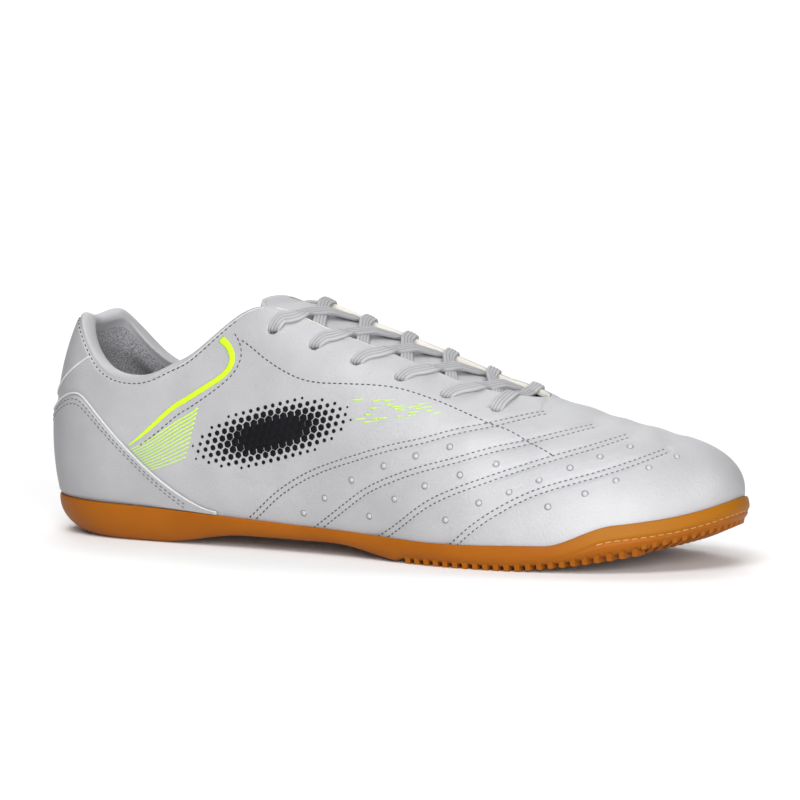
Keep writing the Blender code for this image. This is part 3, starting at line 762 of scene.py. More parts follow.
# %% Sole shapes
ARCH_HEIGHT, ARCH_RISE, ARCH_FALL = 4.8, (58.0, 98.0), (138.0, 174.0)
ROLL_FROM, TOE_SPRING, LENGTH = 212.0, 13.2, 291.4
LIP, SIDE_SWELL = 1.3, 0.7
BUMPER_HEIGHT, BUMPER_RISE, BUMPER_SWELL = 6.5, (230.0, 254.0), 1.2
RIB_PITCH, RIB_GAP, RIB_DEPTH, RIBS_FROM = 4.2, 1.9, 1.6, 172.0
GROOVE_BELOW, GROOVE_DEPTH, GROOVE_WIDE = 5.2, 0.55, 0.7
LIP_ROUND, BAND_EDGE = 0.45, 0.6


def ground(x):
    """The underside: flat heel, arch, flat forefoot, then a toe spring that grows as a power."""
    roll = np.clip((x - ROLL_FROM) / (LENGTH - ROLL_FROM), 0, None)
    return ARCH_HEIGHT * step_up(x, *ARCH_RISE) * (1 - step_up(x, *ARCH_FALL)) + TOE_SPRING * roll**1.5


def lip_height(q):
    """The sole's upper edge, with the bumper that climbs over the toe."""
    foot, _ = outline(q)
    return smooth(column("lip"), q) + BUMPER_HEIGHT * step_up(foot[..., 0], *BUMPER_RISE)


def tread_floor(x):
    """The rubber between the ribs lies above the ground by the depth of a rib."""
    return ground(x) + RIB_DEPTH * step_up(x, RIBS_FROM - 5, RIBS_FROM)


def laid(t, off):
    """One ring of points round the shoe, a distance off the last."""
    return last(around, t) + normal(around, t) * off


foot, out = outline(around)
lip = lip_height(around)
t_lip = height_to_t(around, lip)
print("the lip is", lip.min().round(1), "to", lip.max().round(1), "mm high")

# %% The sole's wall, ring by ring
rings = [laid(t_lip * share, CLEAR) for share in np.linspace(0, 1, 5)]
rings[0][:, 2] -= CLEAR
for angle in np.radians((30, 60, 90, 120, 150, 180)):
    off = CLEAR + LIP * (1 - math.cos(angle)) / 2
    rings.append(laid(t_lip, off) + np.array((0, 0, LIP_ROUND * math.sin(angle))))
edge, tuck = rings[-1], smooth(column("tuck"), around)
bumper = step_up(edge[:, 0], *BUMPER_RISE)
for angle in np.radians(np.linspace(0, 90, 31)[1:]):
    move = (SIDE_SWELL + BUMPER_SWELL * bumper) * math.sin(2 * angle) - tuck * (1 - math.cos(angle))
    ring = edge + out * move[:, None]
    ring[:, 2] = lip + (tread_floor(ring[:, 0]) - lip) * math.sin(angle)
    from_groove = lip - ring[:, 2] - GROOVE_BELOW
    groove = GROOVE_DEPTH * np.exp(-((from_groove / GROOVE_WIDE) ** 2)) * bumper
    ring[:, :2] -= out[:, :2] * groove[:, None]
    rings.append(ring)
wall = np.stack(rings)
band = np.clip((GROOVE_BELOW - (lip[None] - wall[..., 2])) / BAND_EDGE, 0, 1) * bumper[None]
print(len(rings), "rings of", len(around), "points")

# %% Floor, underside and rubber
heel_to_toe, over = len(half), np.linspace(0, 1, 15)[None, :, None]
partner = (-np.arange(heel_to_toe)) % len(around)


def spanned(ring, heights):
    """Straight strips from each outer point of a ring to its inner partner, at the heights given."""
    across = ring[:heel_to_toe, None] * (1 - over) + ring[partner, None] * over
    across[..., 2] = heights(across)
    return across


floor_sheet = spanned(rings[0], lambda p: p[..., 2])
under_sheet = spanned(rings[-1], lambda p: tread_floor(p[..., 0]))
n_wall, n_sheet = wall[..., 0].size, floor_sheet[..., 0].size
faces = np.concatenate([
    grid_quads(*wall.shape[:2], wrap_columns=True),
    grid_quads(*floor_sheet.shape[:2], start=n_wall),
    grid_quads(*under_sheet.shape[:2], start=n_wall + n_sheet)[:, ::-1],
])
points = np.concatenate([wall.reshape(-1, 3), floor_sheet.reshape(-1, 3), under_sheet.reshape(-1, 3)])
gum, nodes, links, shader = new_finish("gum_rubber", (0.3, 0.092, 0.007), 0.5)
shader.inputs["Specular IOR Level"].default_value = 0.12
where = place_node(nodes)
gum_tones = ((LEAST_PATCH, (0.24, 0.068, 0.003)), (MOST_PATCH, (0.272, 0.08, 0.004)))
tone = ramp(nodes, links, noise(nodes, links, where, 45.0), gum_tones)
band_of = nodes.new("ShaderNodeAttribute")
band_of.attribute_name = "band"
lighter = nodes.new("ShaderNodeMix")
lighter.data_type = "RGBA"
links.new(band_of.outputs["Fac"], lighter.inputs["Factor"])
links.new(tone, lighter.inputs[6])
lighter.inputs[7].default_value = (0.262, 0.093, 0.004, 1.0)
links.new(lighter.outputs[2], shader.inputs["Base Color"])
bump(nodes, links, shader, noise(nodes, links, where, 700.0, 4.0), 0.12, 0.2)
bands = {"band": np.concatenate([band.ravel(), np.zeros(2 * n_sheet)])}
add_piece("cup_sole", points, faces, gum, "gum_rubber", ("outsole",), merge=WELD, attributes=bands)

# %% [markdown]
# Straight ribs run across the forefoot, and their ends show as a row of teeth along the edge. Each
# is a bar with a slightly narrower foot, cut to the width of the sole where it lies. The gaps could
# be cut out of the rubber, but bars that are added leave the sole's smooth mesh whole.

# %% Tread ribs
SIDE_RING, TOOTH_RING, TEETH_FROM = -12, -15, 264.0
RIB_TAPER, RIB_INSET, RIB_TOP = (1.0, 0.8), (0.1, 0.9), (RIB_DEPTH + 1.6, 0.0)
TOOTH_RISE, TOOTH_OUT, TOOTH_IN = (1.2, -1.25 * RIB_DEPTH), (0.15, -0.5), 3.0
rib_x = np.arange(RIBS_FROM + RIB_PITCH / 2, TEETH_FROM, RIB_PITCH)
side_lines = wall[SIDE_RING, :heel_to_toe], wall[SIDE_RING, partner]
ends = np.stack([np.interp(rib_x, line[:, 0], line[:, 1]) for line in side_lines], -1)
rib_width = RIB_PITCH - RIB_GAP
ribs = np.zeros((len(rib_x), 2, 2, 2, 3))
for low in (0, 1):
    width, inset = rib_width * RIB_TAPER[low], RIB_INSET[low]
    ribs[:, low, :, 0, 0] = rib_x[:, None] - width / 2
    ribs[:, low, :, 1, 0] = rib_x[:, None] + width / 2
    ribs[:, low, 0, :, 1] = ends[:, :1] + inset
    ribs[:, low, 1, :, 1] = ends[:, 1:] - inset
    ribs[:, low, :, :, 2] = (ground(rib_x) + RIB_TOP[low])[:, None, None]
print(len(rib_x), "ribs")

# %% [markdown]
# Round the toe the tread turns with the edge. There each tooth is a short bar that points inward,
# at even steps along one of the wall's rings. Ribs and teeth have the same eight corners, so one
# list of faces serves them all.

# %% Teeth round the toe
corners = np.array((
    (0, 1, 3, 2), (4, 6, 7, 5), (0, 4, 5, 1), (2, 3, 7, 6), (0, 2, 6, 4), (1, 5, 7, 3),
))
toe_edge, toe_under = wall[TOOTH_RING], wall[-1]
at_toe = np.where(toe_edge[:, 0] > TEETH_FROM)[0]
edge_run = run_length(toe_edge[at_toe])
tooth_at = np.arange(RIB_PITCH / 2, edge_run[-1], RIB_PITCH)
outer_end, inner_end, outward = (
    read_along(edge_run, values[at_toe], tooth_at) for values in (toe_edge, toe_under, out)
)
outward = unit(outward)
along_edge = np.cross(outward, np.array((0.0, 0.0, 1.0))) * rib_width / 2
teeth = np.zeros((len(tooth_at), 2, 2, 2, 3))
for low in (0, 1):
    rise = np.array((0.0, 0.0, TOOTH_RISE[low]))
    tips = outer_end + outward * TOOTH_OUT[low], inner_end - outward * TOOTH_IN
    for far, end in enumerate(tips):
        for ahead, way in enumerate((-1.0, 1.0)):
            teeth[:, low, far, ahead] = end + rise + along_edge * way * RIB_TAPER[low]
ribs = np.concatenate([ribs, teeth])
faces = (np.arange(len(ribs))[:, None, None] * 8 + corners[None]).reshape(-1, 4)
tread = add_piece("tread_ribs", ribs.reshape(-1, 3), faces, gum, "gum_rubber")
made = bmesh.new()
made.from_mesh(tread.data)
bmesh.ops.recalc_face_normals(made, faces=made.faces)
made.to_mesh(tread.data)
made.free()
tread.data.shade_flat()

# %% [markdown]
# ## The insole
# A slab under the foot, raised a little at its edges round the heel. Its outline could be drawn by
# hand, but the foot of the last, moved inward by the wall's thickness, is sure to fit.

# %% Insole
INSOLE, INSOLE_CUP, CUP_FADES = 3.5, 2.0, (70.0, 190.0)
SIDE_PLAY, FLOOR_PLAY = 0.3, 0.1
edge_line = foot - out * (WALL + CLEAR + SIDE_PLAY)
low_sheet = spanned(edge_line, lambda p: p[..., 2] + FLOOR_PLAY)
spread = np.broadcast_to((2 * over[..., 0] - 1) ** 2, low_sheet.shape[:2]).copy()
spread[[0, -1]] = 1.0
top_sheet = low_sheet.copy()
cup = INSOLE_CUP * spread * (1 - step_up(top_sheet[..., 0], *CUP_FADES))
top_sheet[..., 2] += INSOLE - FLOOR_PLAY + cup
rows, columns = top_sheet.shape[:2]
size = rows * columns
side_quads = np.concatenate([
    np.stack([a[:-1], a[1:], a[1:] + size, a[:-1] + size], -1)
    for a in (np.arange(rows) * columns, np.arange(rows)[::-1] * columns + columns - 1)
])
under_quads = grid_quads(rows, columns, start=size)[:, ::-1]
faces = np.concatenate([grid_quads(rows, columns), under_quads, side_quads[:, ::-1]])
points = np.concatenate([top_sheet.reshape(-1, 3), low_sheet.reshape(-1, 3)])
add_piece("insole_pad", points, faces, sock_cloth, "insole_cloth", ("insole",), merge=WELD)

# %% [markdown]
# ## The tongue
# A padded flap that lies under both facings and bridges the throat with a low crown. Cloth could be
# draped there, but the lace has to know how high it lies. So its top is a function of the place
# along the throat and across it. The underside bellies away from the leather, and its edges thin out.

# %% Tongue
TONGUE, TONGUE_CLEAR, TONGUE_DIP = 4.0, 0.9, 2.0
TONGUE_UNDER, TONGUE_CROWN, TONGUE_PAST, TONGUE_AHEAD = 12.0, 1.0, 6.0, 10.0
TONGUE_FLARE, TONGUE_DROP = np.array((0.0, 0.0, 2.6)), 0.35
TOP_NARROWS, TOP_ROUNDS, EDGE_THINS = 0.38, 0.55, 0.75


def tongue_top(rows, w):
    """The tongue's top: |w| over 1 is under a facing, and a parabola bridges the throat between."""
    rows, w = np.broadcast_arrays(np.asarray(rows, float), np.asarray(w, float))
    depth = WALL + TONGUE_CLEAR + TONGUE_DIP * step_up(rows, THROAT_LOW, THROAT_END)
    q = np.where(w < 0, rows, ROUND - rows)
    t = inset_to_t(q, np.clip(np.abs(w) - 1, 0, None) * TONGUE_UNDER)
    under = last(q, t) - raw_normal(q, t) * depth[..., None]
    ones = np.ones_like(rows)
    left = last(rows, ones) - raw_normal(rows, ones) * depth[..., None]
    right = last(ROUND - rows, ones) - raw_normal(ROUND - rows, ones) * depth[..., None]
    f = ((w + 1) / 2)[..., None]
    bridge = left * (1 - f) + right * f
    crown = np.minimum(TONGUE_CROWN, 0.12 * np.linalg.norm(right - left, axis=-1))
    bridge[..., 2] += crown * (1 - w * w)
    return np.where((np.abs(w) > 1)[..., None], under, bridge)


tongue_rows = np.concatenate([
    np.linspace(FACING_TOP, THROAT_END - 0.35, 44), [THROAT_END - 0.25, THROAT_END - 0.15],
])
w = np.linspace(-2, 2, 49)
top = tongue_top(tongue_rows[:, None], w[None])
lead = unit(top[0] - top[1])
centre = top[0].mean(axis=0) * (1, 1, 0) + np.array((0, 0, top[0][:, 2].max()))
share = np.linspace(1, 0, 7)[:-1, None, None]
round_off = (1 - TOP_ROUNDS * np.abs(w / 2) ** 2.5)[None, :, None]
past = centre + (top[0] - centre) * (1 - TOP_NARROWS * share**2)
past = past + (lead * TONGUE_PAST * share + TONGUE_FLARE * share**1.3) * round_off
forward = np.array((TONGUE_AHEAD, 0.0, -TONGUE_DROP * TONGUE_AHEAD))
ahead = top[-1] + forward * np.linspace(0, 1, 4)[1:, None, None]
top = np.concatenate([past, top, ahead])
out_of = unit(np.cross(np.gradient(top, axis=0), np.gradient(top, axis=1)))
pad = TONGUE * (1 - EDGE_THINS * np.abs(w / 2) ** 4)[None]
pad = pad * np.minimum(1.0, 0.35 + np.arange(len(top)) / 5.0)[:, None]
under = top - out_of * pad[..., None]
loop = np.concatenate([top, under[:, ::-1]], axis=1)
faces = [face[::-1] for face in tube_faces(*loop.shape[:2])]
tongue = add_piece("tongue_pad", loop.reshape(-1, 3), faces, leather, "tongue_leather", ("tongue",))

# %% [markdown]
# ## The heel counter and its piping
# The counter is a stiff cap sewn round the heel. Faces of the upper could be pulled out for it, but
# its top line cuts across them. So it is a thin band of the last between the lip of the sole and
# that line, and a pale piping with two rows of stitches follows the line.

# %% Counter
COUNTER, ABOVE_LIP, LEAST_BAND = 1.0, 0.6, 1.0
EDGE_SHARE, EDGE_LEAST = 0.03, 0.3
COUNTER_TOP = np.array((
    (0.0, 46.0), (0.75, 49.0), (1.3, 55.8), (1.62, 58.0), (1.85, 56.5), (2.3, 49.8),
    (2.6, 44.0), (2.9, 37.0), (3.3, 25.4), (3.75, 16.0), (4.05, 13.6),
))
counter_rows = np.linspace(-COUNTER_TOP[-1, 0], COUNTER_TOP[-1, 0], 161)
counter_q = np.mod(counter_rows, ROUND)
low = lip_height(counter_q) + ABOVE_LIP
high = np.interp(np.abs(counter_rows), COUNTER_TOP[:, 0], COUNTER_TOP[:, 1])
softened = np.convolve(np.pad(high, 4, mode="edge"), np.ones(9) / 9, "valid")
high = np.maximum(softened, low + LEAST_BAND)
t_low, t_high = height_to_t(counter_q, low), height_to_t(counter_q, high)
climb = np.linspace(0, 1, 22)[None]
t = t_low[:, None] * (1 - climb) + t_high[:, None] * climb
q = np.broadcast_to(counter_q[:, None], t.shape)
base, straight = last(q, t), normal(q, t)
bulge = COUNTER * np.clip(np.minimum(climb, 1 - climb) / EDGE_SHARE, EDGE_LEAST, 1)
outer_face = base + straight * (CLEAR + bulge)[..., None]
inner_face = base + straight * CLEAR
loop = np.concatenate([outer_face, inner_face[:, ::-1]], axis=1)
faces = [face[::-1] for face in tube_faces(*loop.shape[:2])]
add_piece("heel_cap", loop.reshape(-1, 3), faces, counter_leather, "counter_leather", ("heel_counter",))

# %% [markdown]
# Piping and thread both follow a line on the leather. Piping is an oval carried along it. A stitch
# is a tiny capsule: one is worked out and repeated, all in one array. A second row needs the same
# line moved sideways, so the step in millimetres is turned back into q and t.

# %% Lines laid on the leather
LEAST_WIDTH = 0.05
STITCH_PITCH, STITCH_LENGTH, STITCH_WIDE = 2.3, 1.35, 0.5
STITCH_RINGS, STITCH_SIDES = np.radians((-75, -35, 0, 35, 75)), 6
STITCH_POINTS = len(STITCH_RINGS) * STITCH_SIDES


def oval(width, height, sides=10):
    """An ellipse as a, b pairs, for a flat or round strip."""
    turn = np.linspace(0, 2 * math.pi, sides, endpoint=False)
    return np.stack([width / 2 * np.cos(turn), height / 2 * np.sin(turn)], -1)


def strip(line, width, height, lift=0.0, sides=10):
    """An oval strip that follows a line of q and t on the leather; width may change along it."""
    path = skin(*line.T, lift)
    widths = np.maximum(np.broadcast_to(width, len(path)), LEAST_WIDTH)
    profile = np.stack([oval(1.0, height, sides) * (wide, 1.0) for wide in widths])
    return carried(path, normal(*line.T), profile)


def repeated(faces, size, times):
    """The faces of one small shape of so many points, numbered again for each copy of it."""
    return [face + size * k for k in range(times) for face in faces]


def capsules(path, up, pitch, length, wide):
    """Short capsules along a path: one template is moved, turned and repeated as a single array."""
    run = run_length(path)
    at = np.arange(pitch / 2, run[-1] - pitch / 3, pitch)
    centre, up = read_along(run, path, at), unit(read_along(run, up, at))
    along = unit(read_along(run, np.gradient(path, axis=0), at))
    across = unit(np.cross(up, along))
    turn = np.linspace(0, 2 * math.pi, STITCH_SIDES, endpoint=False)
    x = np.repeat(np.sin(STITCH_RINGS) * length / 2, STITCH_SIDES)
    r = np.repeat(np.cos(STITCH_RINGS) ** 0.6, STITCH_SIDES) * wide / 2
    y, z = (r * np.tile(way, len(STITCH_RINGS)) for way in (np.cos(turn), np.sin(turn)))
    points = centre[:, None] + along[:, None] * x[:, None]
    points = points + across[:, None] * y[:, None] + up[:, None] * z[:, None]
    one = tube_faces(len(STITCH_RINGS), STITCH_SIDES)
    return points.reshape(-1, 3), repeated(one, STITCH_POINTS, len(at))


def stitches(line, lift=0.05, pitch=STITCH_PITCH, length=STITCH_LENGTH, wide=STITCH_WIDE):
    """Capsules along a line of q and t on the leather."""
    path, up = skin(*line.T, lift), normal(*line.T)
    return capsules(path, up, pitch, length, wide)


def beside(line, distance):
    """A line moved sideways on the leather, towards its left as it runs."""
    points = last(*line.T)
    run = unit(np.gradient(points, axis=0))
    side = unit(np.cross(normal(*line.T), run))
    by_q = (last(line[:, 0] + NUDGE, line[:, 1]) - points) / NUDGE
    t_safe = np.minimum(line[:, 1], 0.995)
    by_t = (last(line[:, 0], t_safe + NUDGE) - last(line[:, 0], t_safe)) / NUDGE
    qq, tt, qt = (by_q**2).sum(-1), (by_t**2).sum(-1), (by_q * by_t).sum(-1)
    sq, st = (side * by_q).sum(-1) * distance, (side * by_t).sum(-1) * distance
    det = np.maximum(qq * tt - qt * qt, 1e-6)
    moved = line + np.stack([(sq * tt - st * qt) / det, (st * qq - sq * qt) / det], -1)
    return np.stack([moved[:, 0], np.clip(moved[:, 1], 0.0, 1.0)], -1)


print("a stitch has", STITCH_POINTS, "points")

# %% Piping of counter and heel tab
PIPING_OFF, PIPING_SIZE, TAB_PIPING = 0.55, (0.85, 1.3), (0.9, 0.9, 0.2)
TAB_LINE = np.array((
    (0.0, 52.0), (0.35, 53.4), (0.75, 57.3), (1.03, 61.3), (1.32, 65.6), (1.58, 69.0), (1.86, 71.8),
))
piping = Bundle()
up = normal(counter_rows, t_high)
path = last(counter_rows, t_high) + up * (CLEAR + PIPING_OFF)
thin = np.interp(np.abs(counter_rows), (3.3, 4.05), (1.0, 0.45))[:, None, None]
piping.add(*carried(path, up, oval(*PIPING_SIZE) * thin))
tab_rows = np.linspace(-TAB_LINE[-1, 0], TAB_LINE[-1, 0], 121)
tab_height = through(TAB_LINE[:, 0], TAB_LINE[:, 1:], np.abs(tab_rows))[:, 0]
tab_line = np.stack([tab_rows, height_to_t(np.mod(tab_rows, ROUND), tab_height)], -1)
piping.add(*strip(tab_line, *TAB_PIPING))
add_piece("piping", *piping.all(), pale_piping, "silver_leather")

# %% [markdown]
# ## Seams
# Stitch rows hold the channels, the facings' overlay, the collar roll, the quarter and the counter.
# A row could be a dashed texture, but real stitches catch the light, so each is a tiny capsule.

# %% Stitch rows
EYESTAY = (
    (241, 340), (252, 349), (266, 360), (280, 369), (292, 376), (304, 381), (319, 383), (338, 384),
    (365, 385), (384, 386), (402, 389), (420, 395), (443, 403), (461, 411), (483, 420), (506, 429),
    (522, 438), (538, 447), (555, 456),
)
QUARTER = (
    (234, 333), (244, 349), (241, 363), (235, 373), (212, 392), (186, 409), (164, 426), (147, 440),
    (136, 448),
)
CHANNEL_STITCH = {"lift": 0.05, "pitch": 2.15, "length": 1.2, "wide": 0.55}
INNER_STOPS, COUNTER_DROPS, COUNTER_BAND = 0.93, (1.9, 3.4), 4.5
collar_q = np.linspace(0.0, 4.7, 220)
collar_inset = np.interp(collar_q, (3.3, 4.2), (0.8, 1.9))
collar_line = np.stack([collar_q, inset_to_t(collar_q, collar_inset)], -1)
sewing, fades = Bundle(), []


def sew(line, fade, **how):
    """Adds a row of stitches whose colour fades along it from one value to the other."""
    points, faces = stitches(line, **how)
    sewing.add(points, faces)
    fades.append(np.repeat(np.linspace(*fade, len(points) // STITCH_POINTS), STITCH_POINTS))


for line in (seam(EYESTAY), seam(QUARTER), collar_line):
    for side in both_sides(line):
        sew(side, (0.0, 0.1))
for line in channel_lines:
    for gap in (-ROW_GAP, ROW_GAP):
        row = beside(line, gap)
        if line[0, 0] > TOE:
            row = row[row[:, 1] < INNER_STOPS]
        sew(row, (0.0, 0.6), **CHANNEL_STITCH)
for drop in COUNTER_DROPS:
    t_row = height_to_t(counter_q, np.maximum(high - drop * 1.25, low + 0.2))
    row = np.stack([counter_rows, t_row], -1)[high - low > COUNTER_BAND]
    sew(row, (0.35, 0.35), lift=CLEAR + COUNTER + 0.02, wide=0.42)
fades = {"fade": np.concatenate(fades)}
add_piece("stitching", *sewing.all(), thread, "silver_leather", attributes=fades)

# %% [markdown]
# The toe bumper carries a moulded row of dashes in its groove. Their lighter gum is a painted
# highlight.
# A drawn curve could guide them, but it would have to be fitted by eye. Where the groove lies is a
# mean of the wall's rings, weighted by how near each is to that height.

# %% Dashes on the bumper
SIDE_RINGS, NEAR = 30, 0.5
DASH_PITCH, DASH_LENGTH, DASH_WIDE = 3.4, 2.7, 0.5
on_bumper = np.where(bumper > 0.9)[0]
side_rings = wall[-SIDE_RINGS:]
near_groove = np.exp(-(((lip - side_rings[..., 2] - GROOVE_BELOW) / NEAR) ** 2))[:, on_bumper]
groove_path = (side_rings[:, on_bumper] * near_groove[..., None]).sum(0) / near_groove.sum(0)[:, None]
# Painted highlight: the dashes get a lighter gum than the rest of the sole.
dash_gum_painted_highlight = grained("dash_gum_painted_highlight", (0.4, 0.185, 0.034), (0.46, 0.225, 0.05), 0.5, 900, 0.2, 0.1)
dashes = capsules(groove_path, out[on_bumper], DASH_PITCH, DASH_LENGTH, DASH_WIDE)
add_piece("bumper_dashes", *dashes, dash_gum_painted_highlight, "gum_rubber")

# %% [markdown]
# ## Neon band and speed lines
# A neon band follows the quarter's seam, thin lines fan out from the counter, and short strokes are
# strewn further forward. A print could be painted as a picture. Very thin strips laid on the leather
# need none, and their edges stay sharp however near one looks.

# %% Neon
NEON_BAND = (
    (221, 339), (230, 346), (235, 355), (234, 365), (222, 377), (195, 393), (161, 417), (128, 446),
)
FAN, DRIFT, SEED = 11, 26, 5
NEON_HEIGHT, NEON_LIFT, NEON_SIDES = 0.22, 0.1, 8
band_line = seam(NEON_BAND)
band_share = np.linspace(0, 1, len(band_line))
band_width = np.interp(band_share, (0, 0.15, 0.3, 0.6, 0.85, 1.0), (2.9, 2.7, 2.3, 2.1, 1.5, 0.3))
fan_from = np.stack([np.linspace(130, 149, FAN), np.linspace(450, 470, FAN)], -1)
fan_to = np.stack([np.linspace(198, 186, FAN), np.linspace(408, 457, FAN)], -1)
lines = [(band_line, band_width)]
for k in range(FAN):
    bend = (fan_from[k] * 0.5 + fan_to[k] * 0.5) + (0, 0.8)
    line = seam(np.stack([fan_from[k], bend, fan_to[k]]), 1.0)
    lines.append((line, np.linspace(0.28, 0.62 - 0.03 * k, len(line))))
rng = np.random.default_rng(SEED)
for k in range(DRIFT):
    ahead = 352 + 3.1 * k + rng.uniform(-4, 4)
    down = 412 - 0.1 * k + rng.uniform(-13, 13) * (1 - k / 40)
    reach = rng.uniform(7, 17) * (1 - k / 70)
    start, middle, end = np.array((ahead, down)), (reach / 2, -0.07 * reach), (reach, -0.13 * reach)
    line = seam(np.stack([start, start + middle, start + end]), 0.8)
    lines.append((line, np.linspace(0.5, 0.15, len(line))))
neon = Bundle()
for line, width in lines:
    for side in both_sides(line):
        neon.add(*strip(side, width, NEON_HEIGHT, NEON_LIFT, NEON_SIDES))
add_piece("neon_lines", *neon.all(), neon_print, "silver_leather")

# %% [markdown]
# ## The dot field
# A field of black six-sided dots fades out along the side. They stand in staggered rows, as seen in
# the photograph, and shrink toward the edge of an oval. Each is a thin disc that lies on the leather,
# so the whole field bends with it.

# %% Black dots
DOT_PITCH, ROW_SHARE, BIGGEST_DOT, SMALLEST_DOT = 7.6, 0.87, 2.2, 0.45
DOT_PROFILE, DOT_TWIST = ((1.0, -0.15), (1.0, 0.1), (0.94, 0.16)), math.radians(44.0)
FIELD_MIDDLE, FIELD_REACH = np.array((272.0, 433.0)), np.array((82.0, 31.0))
FIELD_TURN = math.radians(-14.0)
i, j = np.meshgrid(np.arange(-14, 15), np.arange(-8, 9), indexing="ij")
grid = np.stack([(i + 0.5 * (j % 2)) * DOT_PITCH, j * DOT_PITCH * ROW_SHARE], -1).reshape(-1, 2)
reach = np.hypot(grid[:, 0] / FIELD_REACH[0], grid[:, 1] / FIELD_REACH[1])
grid, reach = grid[reach < 1], reach[reach < 1]
cosine, sine = math.cos(FIELD_TURN), math.sin(FIELD_TURN)
dot_place = on_last(FIELD_MIDDLE + grid @ np.array(((cosine, sine), (-sine, cosine))))
dot_radius = np.minimum(BIGGEST_DOT, SMALLEST_DOT + BIGGEST_DOT * (1 - reach) ** 0.8)


def discs(place, profile, radius, sides=6, twist=0.0):
    """Little turned shapes on the leather: rings of a radius and height, each shape as big as asked."""
    centre, up = skin(*place.T), normal(*place.T)
    along = unit(np.cross(up, np.array((0.001, 0.0, 1.0))))
    across = np.cross(up, along)
    turn = twist + np.linspace(0, 2 * math.pi, sides, endpoint=False)
    spoke = along[:, None] * np.cos(turn)[:, None] + across[:, None] * np.sin(turn)[:, None]
    profile = np.asarray(profile)
    points = centre[:, None, None] + spoke[:, None] * (radius[:, None] * profile[:, 0])[..., None, None]
    points = points + up[:, None, None] * profile[:, 1][:, None, None]
    one = tube_faces(len(profile), sides)
    return points.reshape(-1, 3), repeated(one, len(profile) * sides, len(place))


dots = Bundle()
for place, twist in ((dot_place, DOT_TWIST), (inner_side(dot_place), -DOT_TWIST)):
    dots.add(*discs(place, DOT_PROFILE, dot_radius, twist=twist))
add_piece("black_dots", *dots.all(), black_print, "silver_leather")

# %% [markdown]
# ## Studs on the vamp
# Between the channels sit small raised pins. They could be sculpted, but they are all alike. So each
# is turned from one profile, a shallow ring and then a dome, and a stored number paints shade on the
# ring.

# %% Studs
STUDS = np.array((
    (304, 513), (325, 498), (352, 480), (384, 466), (416, 456), (450, 447), (370, 516), (395, 499),
    (425, 486), (460, 475), (496, 464), (446, 520), (479, 503), (509, 492), (539, 480), (570, 468),
    (600, 457), (630, 447), (548, 507), (585, 494), (616, 481), (649, 468), (677, 457),
))
STUD_PROFILE = (
    (1.4, -0.2), (1.36, 0.03), (1.12, 0.04), (0.98, 0.05), (0.85, 0.32), (0.55, 0.5), (0.15, 0.56),
)
# Painted shade: the ring round each stud is darkened for a pressed groove that the mesh does not cut.
RING_PAINTED_SHADE = np.array((0.0, 0.0, 1.0, 0.9, 0.1, 0.0, 0.0))
STUD_SIDES, STUD_RADIUS, INNER_BELOW = 16, 1.1, 0.6
stud_place = on_last(STUDS)
inner_studs = inner_side(stud_place[stud_place[:, 1] < INNER_BELOW])
pins = Bundle()
for place in (stud_place, inner_studs):
    pins.add(*discs(place, STUD_PROFILE, np.full(len(place), STUD_RADIUS), STUD_SIDES))
ring_painted_shade = np.tile(np.repeat(RING_PAINTED_SHADE, STUD_SIDES), len(stud_place) + len(inner_studs))
stud_finish = fading("pressed_stud", "ring_painted_shade", (0.36, 0.36, 0.372), (0.13, 0.13, 0.14), 0.45)
add_piece("vamp_studs", *pins.all(), stud_finish, "silver_leather", attributes={"ring_painted_shade": ring_painted_shade})

# %% [markdown]
# ## The lace
# A flat braided lace. Each strand dives into an eyelet on one side, crosses the throat and slips
# under the other facing one place nearer the toe. A curve with a bevel could carry it, but a flat
# strap would twist. Here every point of the path has its own upward direction, so the lace lies flat.

# %% Lace paths
LACE_WIDTH, LACE_THICK, LACE_RIBS, FURROW = 5.2, 1.9, 4, 0.45
LACE_POINTS, STRAND_STEPS, EASE_FROM = 48, 110, 10
FACING_END, THROAT_ENDS = 0.985, 0.97
ACROSS = (0.72, 0.35, 0.0, -0.35, -0.7, -0.93, -1.12)
RISE_AT, RISE = (-1.12, -0.93, -0.7, 0.0, 0.72), (-0.3, 0.0, 0.1, 0.2, 1.3)
NEAR_LEAN, FAR_LEAN = 0.45, 0.08
NEAR_TILT, FAR_TILT = 0.8, 0.35
OVER_FAR, BAR_OVER, BAR_AHEAD, BAR_MIDDLE = 1.6, 0.6, 0.3, 0.2


def lace_profile():
    """A flattened oval with lengthwise ribs, and how deep in a furrow each point lies, which also
    paints shade on the braid.
    """
    turn = np.linspace(0, 2 * math.pi, LACE_POINTS, endpoint=False)
    a = LACE_WIDTH / 2 * np.sign(np.cos(turn)) * np.abs(np.cos(turn)) ** 0.85
    b = LACE_THICK / 2 * np.sign(np.sin(turn)) * np.abs(np.sin(turn)) ** 0.6
    furrow = np.abs(np.cos(math.pi * LACE_RIBS * (a / LACE_WIDTH + 0.5))) ** 5
    furrow = furrow * (np.abs(a) < 0.4 * LACE_WIDTH)
    return np.stack([a, b * (1 - FURROW * furrow)], -1), furrow


def soft(values, reach=3):
    """A running mean along the rows, with the ends held."""
    first, final = np.repeat(values[:1], reach, 0), np.repeat(values[-1:], reach, 0)
    held_ends = np.concatenate([first, values, final])
    return np.mean([held_ends[k : k + len(values)] for k in range(2 * reach + 1)], axis=0)


